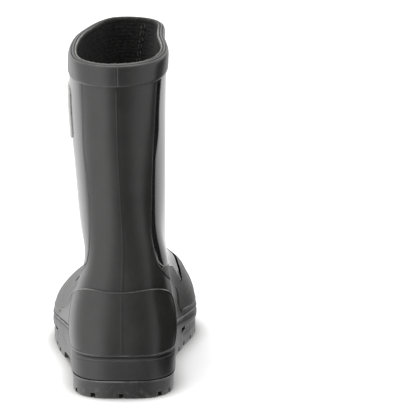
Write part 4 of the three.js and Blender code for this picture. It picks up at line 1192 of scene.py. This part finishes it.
# ------------------------------------------------------------------ badge: blank raised plate
def badge_height(dist, u, v):
    channel = 0.30 * ease((dist - 1.5) / 0.4) * (1 - ease((dist - 3.0) / 0.5))
    return rounded(dist, 1.5, 2.35, 0.45) - channel


panel("badge_plate", BADGE_OUTLINE, RAISED_BASE, badge_height, BADGE, "badge",
      step=1.6, rings=[0.1, .22, .36, .52, .75, 1.1, 1.5, 1.62, 1.75, 1.9, 2.1, 2.5, 3.0, 3.12,
                       3.25, 3.4, 3.55])

# ------------------------------------------------------------------ sole unit
FEATHER_V = 0.0696              # line where the wall meets the sole
POCKET_RUN, POCKET_HALF = 112.0, 3.0    # small moulded pocket on each side
POCKET_SPAN = (106.5, 117.5)    # finer stations here
TOE_RUN = 171                   # the lugs end here


def sole_top(run):
    return eased_steps(run, [50, 110, 165, 203], [11.4, 11.0, 11.0, 12.4])


def sole_base(run):
    """Height of the bottom of the tread grooves."""
    return eased_steps(run, [56, 68, 82, 92, 168, 203], [3.0, 6.0, 5.2, 3.0, 3.0, 6.4])


def zones(run):
    """Shares of heel, waist and forefoot; they add up to 1."""
    heel = 1 - ease((run - 46) / 22)
    fore = ease((run - 109.5) / 5)
    return heel, 1 - heel - fore, fore


def contour(u, v, grow=0.0):
    """Ring of the last grown level outwards, and the level normals."""
    tangent = surface(u + 2e-3, v) - surface(u - 2e-3, v)
    tangent[:, 2] = 0
    tangent = unit(tangent)
    normal = np.stack([-tangent[:, 1], tangent[:, 0], np.zeros(len(u))], 1)
    return surface(u, v) + normal * grow, normal


def arc_stations(v, step, fine=None, fine_step=0.3):
    """An even number of u stations at equal steps, closer within the fine span of run."""
    u = np.linspace(0, 1, 4001)
    points = surface(u, v)
    run = -points[:, 1]
    weight = np.full(4000, 1.0 / step)
    if fine:
        weight[(run[:-1] > fine[0]) & (run[:-1] < fine[1])] = 1.0 / fine_step
    sizes = np.linalg.norm(np.diff(points, axis=0), axis=1)
    total = np.concatenate([[0], np.cumsum(sizes * weight)])
    count = int(round(total[-1] / 2)) * 2
    return np.interp(np.arange(count) / count * total[-1], total, u)


def in_pocket(run, margin):
    return ease((POCKET_HALF + margin - np.abs(run - POCKET_RUN)) / 0.5)


def shade_pockets(ob, points, extra):
    """Painted shade in the two side pockets and wherever extra says."""
    run, z = -points[:, 1], points[:, 2]
    top = sole_top(run)
    dark = in_pocket(run, 0.55) * ease((top + 2.75 - z) / 0.4) * ease((z - top + 1.15) / 0.4)
    mark(ob, np.maximum(dark, extra), "painted_shade")


def heel_sides(heel, x):
    return heel * ease((np.abs(x) - 17) / 12)


# Upper part of the foxing: (mm above the feather line, growth outwards, then what is
# added to the growth at heel, waist and forefoot)
FOXING_UPPER = [
    (0.98, 0.85, 0, 0, 0), (0.97, 1.22, 0, 0, 0), (0.82, 1.52, 0, 0, 0), (0.56, 1.75, 0, 0, 0),
    (0.22, 1.86, 0, 0, 0), (-0.14, 1.82, 0, 0, 0), (-0.46, 1.62, 0, 0, 0),
    (-0.72, 1.32, 0, 0, -.15), (-0.98, 1.12, 0, 0, -.3), (-1.24, 1.14, 0, 0, -.3),
    (-1.48, 1.36, 0, .1, 0), (-1.8, 1.52, 0, .1, .1), (-2.15, 1.66, .06, 0, 0),
    (-2.45, 1.74, .16, 0, 0), (-2.72, 1.80, .14, 0, 0), (-3.0, 1.86, -.12, 0, 0),
    (-3.22, 1.88, -.26, 0, 0), (-3.5, 1.90, -.12, 0, 0)]
# Lower part: (mm above its bottom edge, growth at heel, waist and forefoot)
FOXING_LOWER = [
    (2.6, 1.93, 1.88, 1.9), (2.2, 1.93, 1.88, 1.9), (1.95, 1.93, 1.88, 1.89),
    (1.7, 1.92, 1.88, 1.88), (1.4, 1.92, 1.88, 1.86), (1.1, 1.90, 1.88, 1.83),
    (0.8, 1.86, 1.88, 1.78), (0.5, 1.76, 1.88, 1.68), (0.25, 1.68, 1.88, 1.6),
    (0.08, 1.52, 1.88, 1.42), (0.0, 1.30, 1.4, 1.0)]


def build_foxing():
    """The band round the foot above the outsole."""
    u = arc_stations(FEATHER_V, 0.85, POCKET_SPAN)
    base, normal = contour(u, FEATHER_V)
    run, feather = -base[:, 1], base[:, 2]
    heel, waist, fore = zones(run)
    bottom = sole_top(run) + 0.45 * heel + 0.30 * fore + 0.02
    levels = [(grow + at_heel * heel + at_waist * waist + at_fore * fore, feather + above)
              for above, grow, at_heel, at_waist, at_fore in FOXING_UPPER]
    # the plain side between the two moulded edges
    side_top, side_bottom = feather - 3.9, bottom + 2.9
    levels.append((1.90, np.maximum(side_top, bottom + 3.05)))
    for f in (0.2, 0.4, 0.6, 0.8):
        levels.append((1.92 + 0.10 * math.sin(f * math.pi) * heel,
                       np.maximum(side_top + (side_bottom - side_top) * f,
                                  bottom + 3.0 - 0.02 * f)))
    levels += [(at_heel * heel + at_fore * fore + at_waist * waist, bottom + above)
               for above, at_heel, at_waist, at_fore in FOXING_LOWER]
    rings = [wall(u, PANEL_FOOT_V, 0.05)]
    for grow, z in levels:
        push = in_pocket(run, 0.35) * ease((bottom + 2.35 - z) / 0.35) * 2.3
        ring = base + normal * (grow - push)[:, None]
        ring[:, 2] = z
        rings.append(ring)
    # back up along the last, hidden
    under = wall(u, 0.0, 0.05)
    under[:, 2] = bottom + 0.02
    rings.append(under)
    rings += [wall(u, v, 0.05) for v in (0.0, 0.02, 0.045, 0.065)]
    points = np.vstack(rings)
    foxing = add_mesh("foxing_band", points, ring_faces(len(rings), len(u), closed=True), SOLE,
                      replaces="foxing", sharp=48)
    z = points[:, 2].reshape(-1, len(u))
    below, above = feather - z, z - bottom
    # painted shade in the groove under the upper bead and low on the heel sides
    shade_pockets(foxing, points, (0.60 * crest(below, 1.02, 0.45)
                                   + 0.95 * heel_sides(heel, base[:, 0])
                                   * (1 - ease((above - 0.5) / 0.8))).ravel())
    # painted highlight along the upper bead and, faintly, along the second line below it
    mark(foxing, (0.55 * crest(below, -0.55, 0.55)
                  + 0.14 * crest(below, 2.7, 0.5) * (1 - 0.6 * waist)).ravel())


build_foxing()

# ------------------------------------------------------------------ outsole
GROOVE = 2.4            # width of the grooves between lugs of one row
LUG_SLOPE = 0.42
# rows of lugs: (rear run, front run, x of the groove centres and outer ends)
LUG_ROWS = [
    (-3, 13.6, (-40, -22.3, 0.6, 17.6, 40)), (16, 28.6, (-40, -14, 15, 40)),
    (31, 43.6, (-40, 0, 40)), (46, 58.6, (-40, -14, 15, 40)), (89, 100.6, (-60, -18, 20, 70)),
    (103, 114.6, (-60, 0, 70)), (117, 128.6, (-70, -26, 0, 26, 70)),
    (131, 142.6, (-70, -16, 16, 70)), (145, 156.6, (-70, -26, 0, 26, 70)),
    (159, TOE_RUN, (-70, -16, 16, 70))]
LUGS = np.array([(a + GROOVE / 2, b - GROOVE / 2, -front, -rear)
                 for rear, front, xs in LUG_ROWS for a, b in zip(xs[:-1], xs[1:])])
STEP_Z = 7.6            # height of the step in the side wall
# side wall from the ground up: (growth, height)
SIDE_LOW = [(0.30, 0.10), (0.55, 0.28), (0.78, 0.62), (0.92, 1.2), (1.0, 2.3), (1.02, 3.6)]
# (growth at heel, growth at forefoot, height above the step)
SIDE_STEP = [(0.92, 1.02, -0.75), (0.96, 1.0, -0.25), (0.99, 0.86, 0.1), (1.02, 0.78, 0.5)]
# (growth at heel, growth at forefoot, height above the sole top, share of painted highlight)
SIDE_TOP = [(1.14, 0.78, -1.6, 0), (1.32, 0.78, -1.15, 0.05), (1.52, 0.74, -0.8, 0.30),
            (1.64, 0.66, -0.5, 0.75), (1.64, 0.50, -0.30, 0.80), (1.50, 0.30, -0.12, 0.45),
            (1.30, 0.05, -0.03, 0.1), (0.7, -0.6, 0.0, 0)]


def tread_height(x, y):
    outside_x = np.maximum(LUGS[:, 0] - x[:, None], x[:, None] - LUGS[:, 1])
    outside_y = np.maximum(LUGS[:, 2] - y[:, None], y[:, None] - LUGS[:, 3])
    lug = ease(-np.maximum(outside_x, outside_y).min(1) / LUG_SLOPE)
    root = sole_base(-y)
    return root * (1 - lug) + np.where(-y > TOE_RUN, root, 0.0) * lug


def tread_plan():
    """Plan triangulation of the tread, its lug outlines held as edges."""
    outline, normal = contour(arc_stations(FEATHER_V, 0.55), FEATHER_V)
    heel, waist, fore = zones(-outline[:, 1])
    grow = 0.95 * heel + 1.05 * fore + 1.88 * waist
    loop = (outline + normal * (grow - 1.0)[:, None])[:, :2]
    loops = [loop]
    for x0, x1, y0, y1 in LUGS:
        for inset in (0.0, LUG_SLOPE):
            a, b, c, d = x0 + inset, x1 - inset, y0 + inset, y1 - inset
            corners = [(a, c), (b, c), (b, d), (a, d)]
            polygon = []
            for (sx, sy), (tx, ty) in zip(corners, corners[1:] + corners[:1]):
                pieces = max(1, int(math.hypot(tx - sx, ty - sy) / 3.0))
                polygon += [(sx + (tx - sx) * i / pieces, sy + (ty - sy) * i / pieces)
                            for i in range(pieces)]
            loops.append(np.array(polygon))
    segments, start = [], 0
    for ring in loops:
        count = len(ring)
        segments += [(start + i, start + (i + 1) % count) for i in range(count)]
        start += count
    grid_x, grid_y = np.meshgrid(np.arange(-52, 54, 3.1), np.arange(-206, 2, 3.1))
    field = np.stack([grid_x.ravel(), grid_y.ravel()], 1)
    field = field[inside(loop, field)]
    loop_tree = tree_of(np.column_stack([loop, np.zeros(len(loop))]))
    field = field[distances(loop_tree, [(x, y, 0) for x, y in field]) > 1.2]
    return triangulate(np.vstack(loops + [field]), segments, loop, 1e-5, 1e-6)[:2]


def ordered_boundary(plan, triangles):
    """Boundary points in order, starting at the heel."""
    following = dict(boundary_edges(triangles))
    start = min(following, key=lambda i: -plan[i, 1] + abs(plan[i, 0]) * 0.2)
    order = [start]
    while following[order[-1]] != start:
        order.append(following[order[-1]])
    return np.array(order)


def plan_normals(loop):
    """Smoothed outward normals of a closed plan loop."""
    tangent = np.roll(loop, -1, 0) - np.roll(loop, 1, 0)
    tangent = tangent / np.linalg.norm(tangent, axis=1, keepdims=True)
    normal = np.stack([tangent[:, 1], -tangent[:, 0]], 1)
    if ((loop + normal * 0.5)[:, 0]**2).sum() < ((loop - normal * 0.5)[:, 0]**2).sum():
        normal = -normal
    for _ in range(6):
        normal = normal + np.roll(normal, 1, 0) + np.roll(normal, -1, 0)
        normal = normal / np.linalg.norm(normal, axis=1, keepdims=True)
    return normal


def zip_across(ring, run):
    """Close the top ring by joining its two sides by distance from the heel."""
    faces = []
    a, b = 0, len(ring) - 1
    while a + 1 < b:
        if run[a + 1] < run[b - 1]:
            faces.append((ring[a], ring[a + 1], ring[b]))
            a += 1
        else:
            faces.append((ring[a], ring[b - 1], ring[b]))
            b -= 1
    return faces


def build_outsole():
    """Lugs and grooves underneath, and a side wall with a stepped edge."""
    plan, triangles = tread_plan()
    order = ordered_boundary(plan, triangles)
    tread = tread_height(plan[:, 0], plan[:, 1])
    loop = plan[order]
    normal = plan_normals(loop)
    run, bottom = -loop[:, 1], tread[order]
    heel, waist, fore = zones(run)
    rings = []

    def add_ring(grow, z):
        rings.append(np.column_stack([loop + normal * grow[:, None], z]))

    def at_least(z):
        """Keep each ring a little above the one below."""
        return np.maximum(z, bottom + 0.04 * (len(rings) + 1))

    toe_rise = np.clip(sole_base(run) - 3.0, 0, 9) * (run > TOE_RUN)
    for grow, z in SIDE_LOW:
        add_ring(grow - 0.14 * heel * ease(z / 2.0), at_least(z + toe_rise))
    for at_heel, at_fore, above in SIDE_STEP:
        add_ring(1.0 + (at_heel - 1) * heel + (at_fore - 1) * 0.8 * fore,
                 at_least(STEP_Z + above))
    for at_heel, at_fore, above, _ in SIDE_TOP:
        grow = 1.0 + (at_heel - 1) * heel + (at_fore - 1) * 0.9 * fore
        if above == 0.0:
            grow = grow - 0.5 * waist
        if above > -0.7:
            # the side pockets carry on into the top of the outsole
            grow = grow - 1.2 * in_pocket(run, 0.3)
        add_ring(grow, sole_top(run) + above)

    points = np.vstack([np.column_stack([plan, tread])] + rings)
    count = len(loop)
    indices = [order] + [len(plan) + j * count + np.arange(count) for j in range(len(rings))]
    faces = [tuple(f) for f in triangles]
    for lower, upper in zip(indices[:-1], indices[1:]):
        for i in range(count):
            k = (i + 1) % count
            faces.append((lower[i], lower[k], upper[k], upper[i]))
    faces += zip_across(indices[-1], run)
    outsole = add_mesh("outsole_tread", points, faces, SOLE,
                       replaces="outsole", sharp=40)
    # painted shade on the top three rings at the heel sides
    dark = np.zeros(len(points))
    dark[-3 * count:] = np.tile(0.9 * heel_sides(heel, loop[:, 0]), 3)
    shade_pockets(outsole, points, dark)
    # painted highlight along the top of the side wall, strongest round the back of the heel
    painted_highlight = np.zeros(len(points))
    around = 0.35 + 0.50 * np.exp(-(loop[:, 0] / 17)**2) * (run < 40) + 0.15 * fore
    painted_highlight[-len(SIDE_TOP) * count:] = np.outer([row[3] for row in SIDE_TOP], around).ravel()
    mark(outsole, painted_highlight)


build_outsole()

# ------------------------------------------------------------------ footbed: foam and cover
FOOTBED_GROW = -5.4     # its edge, level inwards from the lower edge of the last
FOOTBED_LIFT = 1.8      # above the lining floor
COVER_BASE = 3.24       # above the underside of the foam
FOOTBED_SHRINK = (0.05, 0.15, 0.3, 0.45, 0.6, 0.75, 0.88, 0.96)
# round the edge from bottom to top: (growth past FOOTBED_GROW, height)
FOAM_EDGE = [(-0.6, 0.02), (-.25, 0.3), (-0.02, 0.9), (0, 1.6), (-.05, 2.4), (-.15, 2.9),
             (-.3, 3.16)]
COVER_EDGE = [(-0.45, 0), (-.28, .1), (-0.22, .3), (-.3, .55), (-.6, .72)]


def shrink(ring, share):
    """Shrink a ring towards the long axis of the foot."""
    run = -ring[:, 1]
    along = np.clip(run, run.min() + 24, run.max() - 30)
    axis_x = np.interp(along, [20, 60, 100, 140, 175], [0.3, 1.5, 2.5, 1.5, -2.5])
    axis = np.stack([axis_x, -along, ring[:, 2]], 1)
    return axis + (ring - axis) * share


def footbed_layer(name, under, edge, over, lift, material, replaces):
    """A slab; under and over are (growth, height) of its two faces."""
    layers = [(under[0], share, under[1]) for share in FOOTBED_SHRINK]
    layers += [(grow, 1, z) for grow, z in edge]
    layers += [(over[0], share, over[1]) for share in FOOTBED_SHRINK[::-1]]
    count = 220
    rings = []
    for grow, share, z in layers:
        ring, _ = contour(np.arange(count) / count, 0, FOOTBED_GROW + grow)
        if share < 1:
            ring = shrink(ring, share)
        ring[:, 2] = floor_height(-ring[:, 1]) + FOOTBED_LIFT + (lift + z)
        rings.append(ring)
    points = np.vstack(rings)
    faces = ring_faces(len(rings), count) + strip_cap(0, count, True)
    faces += strip_cap((len(rings) - 1) * count, count, False)
    add_mesh(name, points, faces, material, body="footbed", replaces=replaces,
             uv=points[:, :2] / 2.2 * 0.35, sharp=60)


footbed_layer("footbed_foam_pad", under=(-0.7, 0.0), edge=FOAM_EDGE, over=(-.3, 3.2), lift=0.0,
              material=FOAM, replaces="footbed_foam")
footbed_layer("footbed_textile_cover", under=(-0.5, 0.0), edge=COVER_EDGE, over=(-.6, .76),
              lift=COVER_BASE, material=FOOTBED_KNIT,
              replaces="footbed_cover")

# ------------------------------------------------------------------ CAD pieces kept as they are
for piece, material, slot_name in (("heel_stiffener", CORE, "core_rubber"),
                                   ("toe_stiffener", CORE, "core_rubber"),
                                   ("midsole_filler", CORE, "core_rubber"),
                                   ("insole_board", BOARD, "fibre_board")):
    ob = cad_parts[piece]
    if ob.material_slots:
        for material_slot in ob.material_slots:
            material_slot.material = material
    else:
        ob.data.materials.append(material)


# ------------------------------------------------------------------ floor
def paper_material():
    material, nodes, shader, coords = new_material("floor_paper")
    paper = nodes.ramp(nodes.noise(coords["Object"], 40.0, 4, 0.5),
                       [(0.3, (0.88, 0.88, 0.88)), (0.7, (0.90, 0.90, 0.90))])
    # painted contact shadow: the colour darkens with ambient occlusion near the boot
    contact_shadow_ao = nodes.node("AmbientOcclusion", {"Distance": 0.020}, samples=8)
    painted_contact_shadow = nodes.ramp(contact_shadow_ao.outputs["AO"],
                         [(0.30, (0.34, 0.33, 0.32)), (0.78, (1.0, 1.0, 1.0))])
    color = nodes.mix(1.0, paper, painted_contact_shadow, blend_type="MULTIPLY")
    nodes.feed(shader, {"Base Color": color, "Roughness": 0.9, "Specular IOR Level": 0.0})
    return material


def stage_object(name, points, faces, material):
    mesh = bpy.data.meshes.new(name)
    mesh.from_pydata(points, [], faces)
    ob = bpy.data.objects.new(name, mesh)
    scene.collection.objects.link(ob)
    mesh.materials.append(material)
    return ob


FLOOR_HALF = 30         # metres
floor = stage_object("floor", [(x * FLOOR_HALF, y * FLOOR_HALF, 0)
                               for x, y in ((-1, -1), (1, -1), (1, 1), (-1, 1))],
                     [(0, 1, 2, 3)], paper_material())
floor.visible_glossy = False

# ------------------------------------------------------------------ dark flag
FLAG_SIDES = 48
# two stacks of ellipses on the medial side: (z, centre x, centre y, radius x, radius y)
FLAG_STACKS = [
    [(z, x, y, radius, radius) for z, x, y, radius in
     ((2, -86, -20, 39), (50, -84, -19, 40), (66, -77, -14, 37), (84, -80, -15, 35),
      (99, -84, -26, 34), (129, -92, -48, 31), (143, -97, -80, 37), (168, -99, -84, 38),
      (205, -101, -86, 39))],
    [(z, -110, -145, 42 * size, 92 * size) for z, size in
     ((2, 1.0), (20, 1.0), (27, 0.95), (30, 0.8))]]


def flag_material():
    material, nodes, shader, coords = new_material("flag_cloth")
    color = nodes.ramp(nodes.noise(coords["Object"], 60.0, 3, 0.5),
                       [(0.3, (0.003, 0.003, 0.003)), (0.7, (0.006, 0.006, 0.006))])
    nodes.feed(shader, {"Base Color": color, "Roughness": 0.9, "Specular IOR Level": 0.1})
    return material


def build_flag():
    """A dark shape beside the boot, seen only in its reflections."""
    angle = np.arange(FLAG_SIDES) / FLAG_SIDES * 2 * math.pi
    points, faces, start = [], [], 0
    for stack in FLAG_STACKS:
        for z, x, y, radius_x, radius_y in stack:
            points.append(np.column_stack([x + radius_x * np.cos(angle),
                                           y + radius_y * np.sin(angle),
                                           np.full(FLAG_SIDES, z)]))
        count = len(stack)
        stack_faces = ring_faces(count, FLAG_SIDES)
        stack_faces.append(tuple(range((count - 1) * FLAG_SIDES, count * FLAG_SIDES)))
        faces += [tuple(x + start for x in f) for f in stack_faces]
        start += count * FLAG_SIDES
    flag = stage_object("dark_flag", ((np.vstack(points) + SHIFT) * MM).tolist(), faces,
                        flag_material())
    flag.data.polygons.foreach_set("use_smooth", np.ones(len(flag.data.polygons), bool))
    flag.visible_camera = False
    flag.visible_shadow = False
    flag.visible_diffuse = False


build_flag()

# ------------------------------------------------------------------ world light
# (degrees from the camera side, + towards the lateral side; strength of the soft boxes)
BOXES = [(-180, 1.15), (-140, 1.15), (-112, 1.0), (-80, 1.1), (-62, 1.05), (-45, 0.6),
         (-28, 0.18), (-4, 0.18), (6, 0.35), (14, 1.7), (24, 2.1), (48, 2.0), (85, 1.65),
         (108, 1.8), (124, 2.4), (148, 1.7), (163, 1.1), (180, 1.15)]
BOX_MAX = 2.6           # strengths are stored in the ramp as shares of this
# share of diffuse light by direction: weaker from the medial side
DIFFUSE_SHARE = [(-180, 0.9), (-150, 0.55), (-125, 0.25), (-60, 0.25), (-25, 0.6), (0, 1.0),
                 (180, 1.0)]
TOP_STRENGTH = 1.9
BACKDROP_STRENGTH = 1.05        # what the camera sees directly


def build_world():
    world = bpy.data.worlds.new("studio")
    scene.world = world
    nodes = Nodes(world)
    output = nodes.node("OutputWorld")
    background = nodes.node("Background", {"Color": (1, 1, 1, 1)})
    nodes.feed(output, {0: background.outputs[0]})
    direction = nodes.separate(nodes.node("TexCoord").outputs["Generated"])
    azimuth = nodes.math("ARCTAN2", direction["X"], direction["Y"])
    turn = nodes.add(nodes.mul(azimuth, 1 / (2 * math.pi)), 0.5)
    boxes = nodes.mul(nodes.ramp(turn, [((angle + 180) / 360, strength / BOX_MAX)
                                        for angle, strength in BOXES]), BOX_MAX)
    upward = nodes.map_range(direction["Z"], 0.50, 0.88, interpolation_type="SMOOTHSTEP")
    ray = nodes.node("LightPath").outputs
    share = nodes.ramp(turn, [((angle + 180) / 360, share) for angle, share in DIFFUSE_SHARE])
    dimming = nodes.mix(ray["Is Diffuse Ray"], 1.0, share, "FLOAT")
    strength = nodes.mix(upward, nodes.mul(boxes, dimming), TOP_STRENGTH, "FLOAT")
    strength = nodes.mix(ray["Is Camera Ray"], strength, BACKDROP_STRENGTH, "FLOAT")
    nodes.feed(background, {"Strength": strength})


build_world()


# ------------------------------------------------------------------ lamp and camera (metres)
def aim(source, target):
    return (Vector(target) - Vector(source)).to_track_quat("-Z", "Y")


LAMP_PLACE = (0.0, 0.1, 1.6)
lamp_data = bpy.data.lights.new("top_softbox", "AREA")
lamp_data.energy = 12.0
lamp_data.size = 1.6
lamp = bpy.data.objects.new("top_softbox", lamp_data)
scene.collection.objects.link(lamp)
lamp.location = LAMP_PLACE
lamp.rotation_euler = aim(LAMP_PLACE, (0, 0, 0.1)).to_euler()

scene.view_settings.view_transform = "Standard"
scene.view_settings.look = "None"

CAMERA_RISE = math.radians(13.5)
CAMERA_DISTANCE = 1.7
CAMERA_TARGET = Vector(tuple((SHIFT + np.array([-51.9, -20.0, 114.4])) * MM))
camera_data = bpy.data.cameras.new("camera")
camera = bpy.data.objects.new("camera", camera_data)
scene.collection.objects.link(camera)
# behind the heel, looking towards the toe
camera.location = CAMERA_TARGET + CAMERA_DISTANCE * Vector((0, math.cos(CAMERA_RISE),
                                                            math.sin(CAMERA_RISE)))
camera.rotation_mode = "QUATERNION"
camera.rotation_quaternion = aim(camera.location, CAMERA_TARGET)
camera_data.sensor_width = 36.0
camera_data.lens = 244.211538
camera_data.clip_start = 0.05
camera_data.clip_end = 100.0
scene.camera = camera
